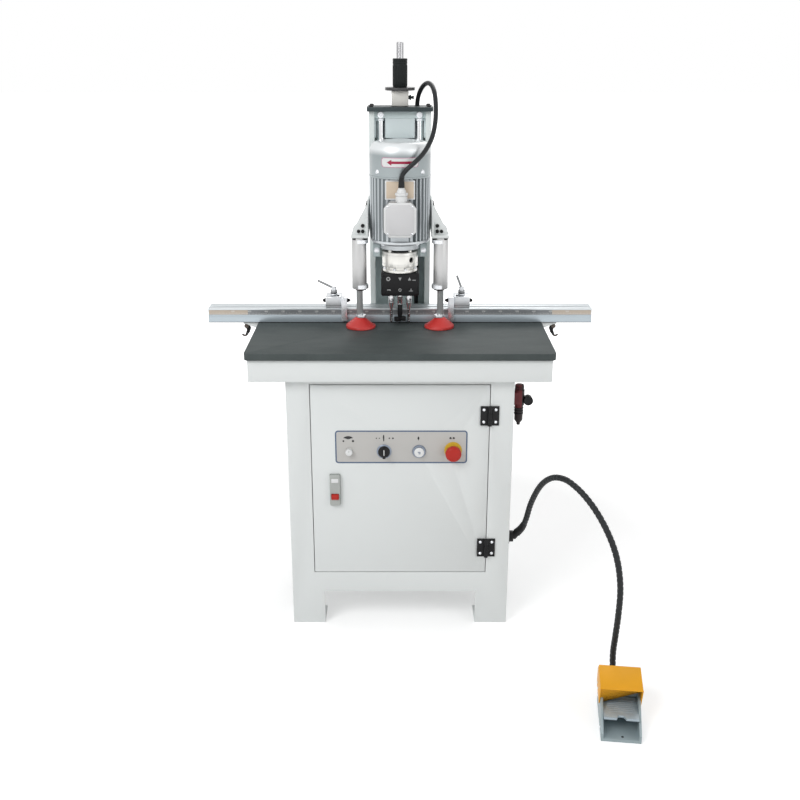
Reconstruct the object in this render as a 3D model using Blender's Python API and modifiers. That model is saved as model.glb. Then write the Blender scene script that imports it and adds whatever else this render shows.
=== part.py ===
# Single-head hinge boring machine, pneumatic, on a sheet-steel cabinet.
# Metres, +Z up. The origin is on the table top, straight below the boring axis.
# +X is the operator's right, and +Y points from the operator to the column.

import math

import bmesh
import bpy
from mathutils import Matrix, Vector

# Clearances and shared sizes
FIT = 0.0003
SLIDE = 0.0005
OVERRUN = 0.010
SHEET = 0.003
EDGE = 0.0015
MERGE = 0.00001
SIDES = 24
FINE_SIDES = 36
SMALL_SIDES = 12

# Work table and its apron frame
TABLE_WIDTH = 0.850
TABLE_FRONT = 0.305
TABLE_BACK = 0.215
TABLE_THICK = 0.019
TABLE_CORNER = 0.014
PAD_WIDTH = 0.136
PAD_LENGTH = 0.080
PAD_REAR = 0.020
PAD_GROOVE = 0.001
TABLE_HEIGHT = 0.850
APRON_INSET = 0.008
APRON_HEIGHT = 0.0635
APRON_RAIL_WIDTH = 0.030
APRON_RAIL_INSET = 0.020

# Cabinet and door
CABINET_WIDTH = 0.636
CABINET_INSET = 0.033
CABINET_DEPTH = 0.472
LEG_WIDTH = 0.095
LEG_HEIGHT = 0.106
DOOR_MARGIN = 0.068
DOOR_HEIGHT = 0.580
DOOR_DROP = 0.016
DOOR_THICK = 0.020
DOOR_GAP = 0.002
HINGE_HEIGHT = 0.057
HINGE_LEAF = 0.026
HINGE_LEAF_THICK = 0.003
HINGE_BARREL_RADIUS = 0.006
HINGE_PIN_RADIUS = 0.0025
HINGE_UPPER_DROP = 0.090
HINGE_LOWER_RISE = 0.080

# Controls on the door, from its left edge and below its top edge
CONTROL_DROP = 0.197
DELAY_PLACE = 0.106
SELECTOR_PLACE = 0.205
START_PLACE = 0.304
STOP_PLACE = 0.400
DELAY_RADIUS = 0.010
DELAY_LENGTH = 0.014
SELECTOR_RADIUS = 0.017
SELECTOR_BASE = 0.010
SELECTOR_GRIP = 0.014
SELECTOR_GRIP_WIDTH = 0.008
BUTTON_RADIUS = 0.0140
BUTTON_HEAD = 0.006
BUTTON_STEM_RADIUS = 0.006
BUTTON_STAND = 0.0075
MUSHROOM_RADIUS = 0.0225
MUSHROOM_HEAD = 0.016
MUSHROOM_STEM_RADIUS = 0.011
MUSHROOM_STAND = 0.016
MUSHROOM_CROWN_SHARE = 0.333
MUSHROOM_SHOULDER_SHARE = 0.8
STEM_INSIDE = 0.022
LATCH_PLACE = 0.0645
LATCH_DROP = 0.314
LATCH_WIDTH = 0.029
LATCH_HEIGHT = 0.094
LATCH_THICK = 0.012
LATCH_POCKET = 0.008
LATCH_KEY_WIDTH = 0.021
LATCH_KEY_HEIGHT = 0.016
LATCH_KEY_PROUD = 0.004
LATCH_KEY_RISE = 0.019

# Electrical board inside the cabinet
BOARD_WIDTH = 0.400
BOARD_HEIGHT = 0.420
BOARD_THICK = 0.004
BOARD_DROP = 0.110

# Column and lift
COLUMN_ROD_MARGIN = 0.034
COLUMN_DEPTH = 0.076
COLUMN_START = 0.092
COLUMN_TOP = 0.608
COLUMN_CHEEK = 0.016
COLUMN_BACK = 0.008
COLUMN_FLANGE_WIDTH = 0.220
COLUMN_FLANGE_DEPTH = 0.108
COLUMN_FLANGE_THICK = 0.012
WEB_HEIGHT = 0.020
WEB_DEPTH = 0.064
WEB_SETBACK = 0.008
TOP_PLATE_WIDTH = 0.190
TOP_PLATE_DEPTH = 0.100
TOP_PLATE_THICK = 0.012
ROD_RADIUS = 0.0125
ROD_SPACING = 0.112
ROD_SETBACK = 0.026
LOWER_BAR_BASE = 0.185
LOWER_BAR_HEIGHT = 0.025
LIFT_RADIUS = 0.029
LIFT_SETBACK = 0.038
LIFT_WALL = 0.007
LIFT_BASE = 0.330
LIFT_CAP = 0.010
LIFT_NECK_RADIUS = 0.0160
PISTON_THICK = 0.020
PISTON_RISE = 0.022
LIFT_ROD_RADIUS = 0.010
LIFT_ROD_TOP = 0.796
LIFT_SHOULDER_RADIUS = 0.015
LIFT_SHOULDER_HEIGHT = 0.008
STOP_BODY_RADIUS = 0.0245
STOP_BODY_HEIGHT = 0.044
STOP_PLATE_RADIUS = 0.043
STOP_PLATE_THICK = 0.008
SLEEVE_RADIUS = 0.0205
SLEEVE_HEIGHT = 0.079

# Carriage
CARRIAGE_ROD_MARGIN = 0.014
CARRIAGE_THICK = 0.0115
CARRIAGE_BASE = 0.230
CARRIAGE_HEIGHT = 0.240
BUSH_HALF_WIDTH = 0.0165
BUSH_DEPTH = 0.038
BUSH_HEIGHT = 0.200
BUSH_RISE = 0.010
LUG_WIDTH = 0.060
LUG_HEIGHT = 0.020
LUG_RISE = 0.005
LUG_DEPTH = 0.046
ARM_WIDTH = 0.0197
ARM_BASE = 0.207
ARM_HEIGHT = 0.038
ARM_REACH = 0.102

# Motor
MOTOR_RADIUS = 0.086
FIN_DEPTH = 0.007
FIN_COUNT = 36
FIN_SHARES = (0.0, 0.28, 0.42, 0.86)
MOTOR_BASE = 0.262
MOTOR_HEIGHT = 0.175
MOTOR_BORE = 0.060
MOTOR_FLAT = 0.076
MOTOR_FOOT_WIDTH = 0.100
MOTOR_FOOT_ROOT = 0.060
MOTOR_FOOT_HEIGHT = 0.140
COWL_RADIUS = 0.087
COWL_WALL = 0.002
COWL_HEIGHT = 0.097
COWL_TOP_RADIUS = 0.066
COWL_DOME = 0.033
VENT_RADIUS = 0.0035
VENT_RING = 0.040
VENT_COUNT = 8
VENT_TURN_SHARE = 0.41
ROTOR_RADIUS = 0.0585
ROTOR_CORE_BASE = 0.275
ROTOR_CORE_HEIGHT = 0.150
SHAFT_RADIUS = 0.012
SHAFT_BASE = 0.200
SHAFT_TOP = 0.480
FAN_BASE = 0.450
FAN_HEIGHT = 0.024
FAN_RADIUS = 0.076
FAN_BLADE = 0.003
FAN_DISC = 0.004
FAN_HUB_RADIUS = 0.020
FAN_BLADE_PAIRS = 3
FAN_TURN_SHARE = 0.25
TERMINAL_WIDTH = 0.088
TERMINAL_HEIGHT = 0.094
TERMINAL_DEPTH = 0.042
TERMINAL_CHAMFER = 0.015
TERMINAL_BASE = 0.283
GLAND_PLACE = 0.004
GLAND_HEX_RADIUS = 0.0165
GLAND_HEX_HEIGHT = 0.016
GLAND_DOME_RADIUS = 0.013
GLAND_HEIGHT = 0.040
GLAND_DOME = 0.010
BELL_BASE = 0.233
BELL_BOSS_RADIUS = 0.058
BELL_BOSS_HEIGHT = 0.013
BELL_RIM = 0.007
BELL_BORE = 0.030

# Spindle housing and gear head
HEAD_WIDTH = 0.110
HEAD_DEPTH = 0.084
HEAD_BASE = 0.097
HEAD_HEIGHT = 0.068
HEAD_WALL = 0.008
HEAD_FLOOR = 0.010
HEAD_ROUND = 0.004
HOUSING_RADIUS = 0.052
HOUSING_FLANGE_RADIUS = 0.050
HOUSING_FLANGE = 0.008
HOUSING_NECK_RADIUS = 0.044
HOUSING_NECK = 0.008
HOUSING_TOP = 0.224
HOUSING_BORE = 0.030
HOUSING_HOLE_RADIUS = 0.008
HOUSING_HOLE_DEPTH = 0.014
HOUSING_HOLE_TURN = math.radians(40.0)
POST_RADIUS = 0.005
POST_RING = 0.041
POST_COUNT = 4
CUP_RADIUS = 0.016
CUP_BASE = 0.186
CUP_HEIGHT = 0.034
CUP_FLOOR = 0.0137
SPINDLE_RADIUS = 0.008
JOURNAL_RADIUS = 0.009
JOURNAL_TOP = 0.115
GEAR_BASE = 0.125
GEAR_HEIGHT = 0.014
GEAR_GAP = 0.0004
CHUCK_RADIUS = 0.009
CHUCK_HEIGHT = 0.034
CHUCK_BORE_DEPTH = 0.024
BIT_TIP = 0.008
BIT_CUTTER_RADIUS = 0.0175
BIT_CUTTER_HEIGHT = 0.014
BIT_NECK_RADIUS = 0.007
BIT_SHANK_RADIUS = 0.005
BIT_NOTCH = 0.009
BIT_SPUR = 0.003
SIDE_PITCH = 0.052
SIDE_OFFSET = 0.0055
SIDE_SHAFT_RADIUS = 0.0065
SIDE_CHUCK_RADIUS = 0.0085
SIDE_CHUCK_HEIGHT = 0.028
SIDE_CONE_HEIGHT = 0.018
DRILL_RADIUS = 0.004
DRILL_POINT = 0.004

# Workpiece clamps
CLAMP_REACH = 0.024
CLAMP_REACH = 0.028
CLAMP_RADIUS = 0.0215
CLAMP_WALL = 0.005
CLAMP_BASE = 0.118
CLAMP_HEIGHT = 0.150
CLAMP_CAP = 0.008
CLAMP_ROD_RADIUS = 0.0095
CLAMP_PISTON_RISE = 0.014
CLAMP_PISTON_THICK = 0.014
FOOT_RADIUS = 0.041
FOOT_RIM = 0.008
FOOT_HEIGHT = 0.0305
FOOT_NECK_RADIUS = 0.013
BRACKET_SHEET = 0.006
BRACKET_TOP = 0.358
BRACKET_NOSE = 0.048
BRACKET_SHELF = 0.008
BRACKET_TIP = 0.010
BRACKET_ARM_NOSE = 0.040
BRACKET_FRONT = 0.027
BRACKET_SLOPE_END = 0.055

# Fence rail with its stops
FENCE_OFFSET = 0.0225
RAIL_LENGTH = 1.148
RAIL_DEPTH = 0.060
RAIL_HEIGHT = 0.0437
RAIL_WALL = 0.006
RAIL_SLOT_WIDTH = 0.008
RAIL_SLOT_PLACE = 0.028
RAIL_SLOT_DEPTH = 0.013
RAIL_SLOT_LIP = 0.004
RAIL_SLOT_INNER = 0.016
RAIL_GROOVE_BASE = 0.0245
RAIL_GROOVE_HEIGHT = 0.0145
RAIL_GROOVE_DEPTH = 0.0012
RAIL_BRACKET_REACH = 0.045
RAIL_BRACKET_DROP = 0.046
RAIL_BRACKET_SHEET = 0.006
RAIL_BRACKET_INSET = 0.006
RAIL_BRACKET_ROOT = 0.018
STOP_INNER_PLACES = (-0.175, 0.161)
STOP_WIDTH = 0.047
STOP_HEIGHT = 0.0345
STOP_BLADE_WIDTH = 0.017
STOP_BLADE_THICK = 0.0095
STOP_BLADE_BASE = 0.008
STOP_PIVOT_RADIUS = 0.0125
STOP_PIVOT_SETBACK = 0.0115
STOP_PIN_RADIUS = 0.004
STOP_PIN_LENGTH = 0.012
LEVER_HUB_RADIUS = 0.010
LEVER_HUB_HEIGHT = 0.016
LEVER_RING_RADIUS = 0.0075
LEVER_RING_HEIGHT = 0.008
LEVER_ARM_RADIUS = 0.0035
LEVER_SETBACK = 0.030
LEVER_REACHES = ((-0.046, -0.012, 0.026), (-0.012, 0.040, 0.028))

# Air unit and hose gland on the cabinet's right side
AIR_SETBACK = 0.060
AIR_DROP = 0.034
AIR_RADIUS = 0.015
AIR_HEIGHT = 0.120
AIR_BOWL_RADIUS = 0.012
AIR_STAND = 0.020
AIR_PLATE_WIDTH = 0.030
AIR_PLATE_HEIGHT = 0.040
AIR_DRAIN_RADIUS = 0.005
GAUGE_RADIUS = 0.013
GAUGE_THICK = 0.020
GAUGE_BACK_SHARE = 0.38
GAUGE_REACH = 0.025
GAUGE_DROP = 0.045
PIPE_RADIUS = 0.005
GLAND_BASE_RADIUS = 0.017
GLAND_BASE_HEIGHT = 0.018
ELBOW_RADIUS = 0.012
ELBOW_LENGTH = 0.018

# Foot hose, from the cabinet's gland to the pedal
HOSE_RADIUS = 0.0085
HOSE_START = Vector((0.3470, -0.2140, -0.5800))
HOSE_ROUTE = (
    (0.3600, -0.2220, -0.5600), (0.3690, -0.2390, -0.5250), (0.3780, -0.2720, -0.4550),
    (0.3950, -0.3200, -0.3820), (0.4180, -0.3680, -0.3370), (0.4450, -0.4150, -0.3200),
    (0.4720, -0.4520, -0.3280), (0.4990, -0.4830, -0.3500), (0.5250, -0.5090, -0.3830),
    (0.5480, -0.5300, -0.4240), (0.5660, -0.5460, -0.4680), (0.5780, -0.5590, -0.5180),
    (0.5830, -0.5710, -0.5760), (0.5810, -0.5780, -0.6410), (0.5770, -0.5800, -0.7050),
    (0.5755, -0.5760, -0.7450), (0.5755, -0.5760, -0.7750), (0.5755, -0.5870, -0.8060),
    (0.5750, -0.6060, -0.8290),
)
HOSE_STEP = 0.040
HOSE_LEAD = 0.036

# Motor cable, from the top plate over to the terminal box
CABLE_RADIUS = 0.0065
CABLE_HOLE_CLEAR = 0.0015
CABLE_HOLE_X = 0.0500
CABLE_HOLE_Y = 0.1465
CABLE_ROUTE = (
    (0.0500, 0.1465, 0.1200), (0.0500, 0.1465, 0.2400), (0.0500, 0.1465, 0.3600),
    (0.0500, 0.1465, 0.4800), (0.0500, 0.1465, 0.5700), (0.0500, 0.1465, 0.6200),
    (0.0540, 0.1380, 0.6500), (0.0650, 0.1170, 0.6750), (0.0790, 0.0880, 0.6860),
    (0.0900, 0.0560, 0.6800), (0.0970, 0.0200, 0.6600), (0.0995, -0.0120, 0.6250),
    (0.0970, -0.0400, 0.5850), (0.0870, -0.0650, 0.5460), (0.0660, -0.0870, 0.5110),
    (0.0420, -0.0990, 0.4870), (0.0200, -0.1020, 0.4680), (0.0080, -0.0990, 0.4530),
)
CABLE_STEP = 0.040
CABLE_LEAD = 0.020

# Pedal
PEDAL_PLACE = Vector((0.551, -0.836))
PEDAL_TURN = math.radians(-7.0)
PEDAL_WIDTH = 0.100
PEDAL_LENGTH = 0.172
PEDAL_FLOOR = 0.008
PEDAL_CHEEK = 0.006
PEDAL_NOSE = 0.022
PEDAL_SHOULDER = 0.072
PEDAL_VALVE = 0.052
PEDAL_VALVE_HEIGHT = 0.086
PEDAL_SLOPE = 0.075
TREADLE_THICK = 0.006
TREADLE_LENGTH = 0.090
TREADLE_HEIGHT = 0.050
TREADLE_NOTCH = 0.012
TREADLE_PIVOT_RADIUS = 0.005
TREADLE_PIN_RADIUS = 0.0022
TREADLE_STEM_RADIUS = 0.006
TREADLE_STEM_PLACE = 0.046
HOOD_WALL = 0.003
HOOD_LENGTH = 0.112
HOOD_HEIGHT = 0.122
HOOD_HEM = 0.050
HOOD_SLOPE = 0.024
HOOD_REAR = 0.004

# Levels and faces worked out from the sizes above
FLOOR = -TABLE_HEIGHT
APRON_TOP = -TABLE_THICK - FIT
APRON_BASE = APRON_TOP - APRON_HEIGHT
CABINET_TOP = APRON_BASE - FIT
CABINET_FRONT = CABINET_INSET - TABLE_FRONT
CABINET_REAR = CABINET_FRONT + CABINET_DEPTH
CABINET_SIDE = CABINET_WIDTH / 2
CABINET_FLOOR = FLOOR + LEG_HEIGHT
DOOR_TOP = CABINET_TOP - DOOR_DROP
DOOR_BASE = DOOR_TOP - DOOR_HEIGHT
DOOR_SIDE = CABINET_SIDE - DOOR_MARGIN
HINGE_X = DOOR_SIDE + DOOR_GAP / 2
HINGE_Y = CABINET_FRONT - FIT - HINGE_BARREL_RADIUS
CONTROL_Z = DOOR_TOP - CONTROL_DROP
COLUMN_WIDTH = ROD_SPACING + 2 * COLUMN_ROD_MARGIN
CARRIAGE_WIDTH = ROD_SPACING + 2 * CARRIAGE_ROD_MARGIN
COLUMN_SIDE = COLUMN_WIDTH / 2
COLUMN_REAR = COLUMN_START + COLUMN_DEPTH
COLUMN_INNER = COLUMN_SIDE - COLUMN_CHEEK
WEB_FRONT = COLUMN_START + WEB_SETBACK
ROD_Y = COLUMN_START + ROD_SETBACK
ROD_X = ROD_SPACING / 2
LIFT_Y = COLUMN_START + LIFT_SETBACK
CARRIAGE_FRONT = COWL_RADIUS + SLIDE
CARRIAGE_REAR = CARRIAGE_FRONT + CARRIAGE_THICK
TOP_PLATE_BASE = COLUMN_TOP + FIT
TOP_PLATE_TOP = TOP_PLATE_BASE + TOP_PLATE_THICK
TOP_PLATE_REAR = COLUMN_REAR + (TOP_PLATE_WIDTH - COLUMN_WIDTH)
STROKE_BASE = TOP_PLATE_TOP + FIT
STROKE_TOP = STROKE_BASE + STOP_BODY_HEIGHT + STOP_PLATE_THICK
LUG_BASE = CARRIAGE_BASE + LUG_RISE
LUG_TOP = LUG_BASE + LUG_HEIGHT
MOTOR_TOP = MOTOR_BASE + MOTOR_HEIGHT
COWL_BASE = MOTOR_TOP + FIT
TERMINAL_FRONT = -MOTOR_FLAT - FIT - TERMINAL_DEPTH
TERMINAL_TOP = TERMINAL_BASE + TERMINAL_HEIGHT
GLAND_BASE = TERMINAL_TOP + FIT
GLAND_Y = (TERMINAL_FRONT - MOTOR_FLAT) / 2
GLAND_TOP = GLAND_BASE + GLAND_HEIGHT
HEAD_TOP = HEAD_BASE + HEAD_HEIGHT
HOUSING_BASE = HEAD_TOP + FIT
CUP_TOP = CUP_BASE + CUP_HEIGHT
SIDE_REACH = math.hypot(SIDE_PITCH / 2, SIDE_OFFSET)
GEAR_RADIUS = (SIDE_REACH - GEAR_GAP) / 2
CHUCK_BASE = HEAD_BASE - CHUCK_HEIGHT
BIT_NECK_TOP = CHUCK_BASE - FIT
CLAMP_X = COLUMN_SIDE + CLAMP_REACH
CLAMP_Y = -CLAMP_REACH
CLAMP_TOP = CLAMP_BASE + CLAMP_HEIGHT
BRACKET_BASE = CLAMP_TOP + FIT
FOOT_TOP = FIT + FOOT_HEIGHT
RAIL_FRONT = FENCE_OFFSET
RAIL_REAR = RAIL_FRONT + RAIL_DEPTH
RAIL_BASE = FIT
RAIL_TOP = RAIL_BASE + RAIL_HEIGHT
STOP_BASE = RAIL_TOP + FIT
STOP_TOP = STOP_BASE + STOP_HEIGHT
STOP_PIVOT_Y = RAIL_FRONT + STOP_PIVOT_SETBACK
STOP_PIVOT_Z = STOP_TOP - STOP_PIVOT_RADIUS
LEVER_Y = RAIL_FRONT + LEVER_SETBACK
AIR_Y = CABINET_FRONT + AIR_SETBACK
AIR_X = CABINET_SIDE + FIT + AIR_STAND

# Colours and finishes: base colour, roughness, metallic
WHITE_PAINT = ((0.80, 0.82, 0.81), 0.45, 0.0)
GREY_PAINT = ((0.62, 0.67, 0.67), 0.45, 0.0)
TABLE_TOP = ((0.10, 0.12, 0.12), 0.70, 0.0)
DARK_STEEL = ((0.05, 0.055, 0.06), 0.45, 0.4)
CHROME = ((0.80, 0.80, 0.82), 0.12, 1.0)
STEEL = ((0.55, 0.55, 0.57), 0.30, 1.0)
ALUMINIUM = ((0.74, 0.76, 0.78), 0.35, 1.0)
CAST_ALUMINIUM = ((0.66, 0.68, 0.69), 0.50, 0.8)
BLACK_METAL = ((0.02, 0.02, 0.022), 0.35, 0.3)
BLACK_PLASTIC = ((0.02, 0.02, 0.02), 0.50, 0.0)
BLACK_RUBBER = ((0.015, 0.015, 0.017), 0.70, 0.0)
CREAM_PLASTIC = ((0.80, 0.78, 0.70), 0.50, 0.0)
RED_RUBBER = ((0.70, 0.05, 0.04), 0.50, 0.0)
RED_PLASTIC = ((0.72, 0.05, 0.03), 0.40, 0.0)
WHITE_PLASTIC = ((0.85, 0.86, 0.86), 0.40, 0.0)
GREY_PLASTIC = ((0.55, 0.56, 0.55), 0.45, 0.0)
BOARD_FINISH = ((0.60, 0.58, 0.52), 0.50, 0.2)
PEDAL_GREY = ((0.42, 0.48, 0.50), 0.50, 0.3)
TREADLE_GREY = ((0.50, 0.57, 0.61), 0.45, 0.3)
HOOD_YELLOW = ((0.90, 0.50, 0.06), 0.45, 0.0)

for leftover in list(bpy.data.objects):
    bpy.data.objects.remove(leftover, do_unlink=True)

PARTS = bpy.data.collections.new("wood_boring_machine")
CUTTERS = bpy.data.collections.new("cutters")
bpy.context.scene.collection.children.link(PARTS)
bpy.context.scene.collection.children.link(CUTTERS)


def paint(name, finish):
    """A Principled material with the part's colour, roughness and metallic value."""
    colour, roughness, metallic = finish
    material = bpy.data.materials.new(name)
    material.use_nodes = True
    shader = material.node_tree.nodes["Principled BSDF"]
    shader.inputs["Base Color"].default_value = (*colour, 1.0)
    shader.inputs["Roughness"].default_value = roughness
    shader.inputs["Metallic"].default_value = metallic
    return material


def place(name, mesh, finish=None):
    """Link a mesh as a part with its own material, or as a hidden cutter."""
    mesh.shade_smooth()
    mesh.set_sharp_from_angle(angle=math.radians(30.0))
    piece = bpy.data.objects.new(name, mesh)
    if finish:
        mesh.materials.append(paint(name, finish))
        PARTS.objects.link(piece)
    else:
        piece.hide_render = True
        piece.display_type = "WIRE"
        CUTTERS.objects.link(piece)
    return piece


def box(name, xs, ys, zs, finish=None, edge=0.0):
    """A box between the low and high ends of its three spans."""
    low = Vector((min(xs), min(ys), min(zs)))
    high = Vector((max(xs), max(ys), max(zs)))
    shape = bmesh.new()
    bmesh.ops.create_cube(shape, size=1.0)
    bmesh.ops.scale(shape, vec=high - low, verts=shape.verts)
    mesh = bpy.data.meshes.new(name)
    shape.to_mesh(mesh)
    shape.free()
    piece = place(name, mesh, finish)
    piece.location = (low + high) / 2
    if edge:
        soften(piece, edge)
    return piece


def soften(piece, width, segments=1):
    """Round or chamfer the edges of a piece."""
    bevel = piece.modifiers.new("Bevel", "BEVEL")
    bevel.width = width
    bevel.segments = segments
    bevel.limit_method = "ANGLE"
    return bevel


def aim(direction):
    """The rotation that takes +Z to a direction."""
    return Vector(direction).to_track_quat("Z", "Y").to_matrix().to_4x4()


def bar(name, start, end, radius, finish=None, sides=SIDES, end_radius=None):
    """A round bar, or a cone, between two points."""
    start, end = Vector(start), Vector(end)
    shape = bmesh.new()
    far = radius if end_radius is None else end_radius
    bmesh.ops.create_cone(shape, cap_ends=True, segments=sides, radius1=radius, radius2=far,
                          depth=(end - start).length)
    bmesh.ops.transform(shape, matrix=aim(end - start), verts=shape.verts)
    mesh = bpy.data.meshes.new(name)
    shape.to_mesh(mesh)
    shape.free()
    piece = place(name, mesh, finish)
    piece.location = (start + end) / 2
    return piece


def turned(name, profile, at, finish=None, sides=SIDES, closed=False, direction=(0, 0, 1)):
    """A turned piece: the profile runs down the outer side, as radius and height pairs."""
    mesh = bpy.data.meshes.new(name)
    edges = [(index, index + 1) for index in range(len(profile) - 1)]
    if closed:
        edges.append((len(profile) - 1, 0))
    mesh.from_pydata([(radius, 0, height) for radius, height in profile], edges, [])
    piece = place(name, mesh, finish)
    screw = piece.modifiers.new("Screw", "SCREW")
    screw.axis = "Z"
    screw.steps = sides
    screw.render_steps = sides
    screw.use_merge_vertices = True
    screw.merge_threshold = MERGE
    screw.use_smooth_shade = True
    piece.location = at
    if Vector(direction) != Vector((0, 0, 1)):
        piece.rotation_mode = "QUATERNION"
        piece.rotation_quaternion = Vector(direction).to_track_quat("Z", "Y")
    return piece


def plate(name, loops, thickness, turn, at, finish=None):
    """A flat outline with thickness, turned into its plane; later loops are holes."""
    outline = bpy.data.curves.new(name, "CURVE")
    outline.dimensions = "2D"
    outline.fill_mode = "BOTH"
    outline.extrude = thickness / 2
    for loop in loops:
        spline = outline.splines.new("POLY")
        spline.points.add(len(loop) - 1)
        spline.use_cyclic_u = True
        for point, (across, up) in zip(spline.points, loop):
            point.co = (across, up, 0, 1)
    sketch = bpy.data.objects.new(name + "_outline", outline)
    bpy.context.scene.collection.objects.link(sketch)
    bpy.context.view_layer.update()
    mesh = solid_mesh(sketch, name)
    mesh.transform(turn)
    piece = place(name, mesh, finish)
    piece.location = at
    return piece


def solid_mesh(sketch, name):
    """The welded mesh of a curve object, which is then removed."""
    graph = bpy.context.evaluated_depsgraph_get()
    mesh = bpy.data.meshes.new_from_object(sketch.evaluated_get(graph))
    mesh.name = name
    mesh.materials.clear()
    bpy.data.objects.remove(sketch, do_unlink=True)
    shape = bmesh.new()
    shape.from_mesh(mesh)
    bmesh.ops.remove_doubles(shape, verts=shape.verts, dist=MERGE)
    bmesh.ops.recalc_face_normals(shape, faces=shape.faces)
    shape.to_mesh(mesh)
    shape.free()
    return mesh


FACE_FRONT = Matrix.Rotation(math.radians(90.0), 4, "X")
FACE_SIDE = Matrix(((0, 0, 1, 0), (1, 0, 0, 0), (0, 1, 0, 0), (0, 0, 0, 1)))
FACE_UP = Matrix.Identity(4)


def boolean(piece, other, operation):
    """Cut a piece with another, or join the other to it."""
    change = piece.modifiers.new("Boolean", "BOOLEAN")
    change.operation = operation
    change.object = other
    return piece


def cut(piece, *cutters):
    """Take every cutter out of a piece."""
    for cutter in cutters:
        boolean(piece, cutter, "DIFFERENCE")
    return piece


def join(piece, *others):
    """Join every other shape to a piece."""
    for other in others:
        boolean(piece, other, "UNION")
    return piece


def corner_loop(width, length):
    """The four corners of a flat rectangle about its middle."""
    return [(-width / 2, -length / 2), (width / 2, -length / 2), (width / 2, length / 2), (-width / 2, length / 2)]


def around(centre, width):
    """The span of a width about its centre."""
    return centre - width / 2, centre + width / 2


def carry(name, at, pieces, parent=None):
    """An empty on a joint's axis that carries the pieces which move with it."""
    pivot = bpy.data.objects.new(name, None)
    PARTS.objects.link(pivot)
    pivot.location = Vector(at) - (parent["place"] if parent else Vector())
    if parent:
        pivot.parent = parent["empty"]
    for piece in pieces:
        piece.location = Vector(piece.location) - Vector(at)
        piece.parent = pivot
    return {"empty": pivot, "place": Vector(at)}


def smooth_route(points, step):
    """Points at even steps along a smooth curve through the route's own points."""
    points = [Vector(point) for point in points]
    ends = [2 * points[0] - points[1]] + points + [2 * points[-1] - points[-2]]
    fine = []
    for before, start, end, after in zip(ends, ends[1:], ends[2:], ends[3:]):
        count = max(2, math.ceil((end - start).length / step))
        for index in range(count):
            share = index / count
            fine.append(0.5 * (2 * start + (end - before) * share
                               + (2 * before - 5 * start + 4 * end - after) * share ** 2
                               + (3 * start - before - 3 * end + after) * share ** 3))
    return fine + [points[-1]]


def tube(name, route, radius, finish):
    """A round tube along a route, with filled ends."""
    curve = bpy.data.curves.new(name, "CURVE")
    curve.dimensions = "3D"
    curve.bevel_depth = radius
    curve.bevel_resolution = 2
    curve.use_fill_caps = True
    spline = curve.splines.new("POLY")
    spline.points.add(len(route) - 1)
    for point, place_at in zip(spline.points, route):
        point.co = (*place_at, 1)
    curve.materials.append(paint(name, finish))
    piece = bpy.data.objects.new(name, curve)
    PARTS.objects.link(piece)
    return piece


def ring(radius_out, radius_in, low, high):
    """The closed profile of a ring, down its outer side and up its bore."""
    return [(radius_out, high), (radius_out, low), (radius_in, low), (radius_in, high)]


def build_table():
    """The work table, a laminated slab with rounded corners and a scored backing zone."""
    xs = around(0, TABLE_WIDTH)
    ys = (-TABLE_FRONT, TABLE_BACK)
    corners = []
    for x, y, start in ((xs[1], ys[1], 0), (xs[0], ys[1], 90), (xs[0], ys[0], 180), (xs[1], ys[0], 270)):
        centre_x = x - math.copysign(TABLE_CORNER, x)
        centre_y = y - math.copysign(TABLE_CORNER, y)
        for turn in (0, 30, 60, 90):
            angle = math.radians(start + turn)
            corners.append((centre_x + TABLE_CORNER * math.cos(angle),
                            centre_y + TABLE_CORNER * math.sin(angle)))
    table = plate("work_table", [corners], TABLE_THICK, FACE_UP, (0, 0, -TABLE_THICK / 2), TABLE_TOP)
    # A scored line sets off the backing zone under the bits, which is the work_table mount
    scored = [corner_loop(PAD_WIDTH + 2 * PAD_GROOVE, PAD_LENGTH + 2 * PAD_GROOVE),
              corner_loop(PAD_WIDTH, PAD_LENGTH)]
    cut(table, plate("pad_line", scored, 2 * PAD_GROOVE, FACE_UP, (0, PAD_REAR - PAD_LENGTH / 2, 0)))


def build_apron():
    """The folded frame under the table, with two rails that stand on the cabinet."""
    side = TABLE_WIDTH / 2 - APRON_INSET
    front = APRON_INSET - TABLE_FRONT
    rear = TABLE_BACK - APRON_INSET
    apron = box("apron", (-side, side), (front, rear), (APRON_BASE, APRON_TOP), WHITE_PAINT)
    cut(apron, box("apron_hollow", (SHEET - side, side - SHEET), (front + SHEET, rear - SHEET),
                   (APRON_BASE - OVERRUN, APRON_TOP - SHEET)))
    rail_x = CABINET_SIDE - APRON_RAIL_INSET - APRON_RAIL_WIDTH / 2
    for sign in (-1, 1):
        join(apron, box("apron_rail", around(sign * rail_x, APRON_RAIL_WIDTH),
                        (front + SHEET / 2, rear - SHEET / 2), (APRON_BASE, APRON_TOP - SHEET / 2)))


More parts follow.
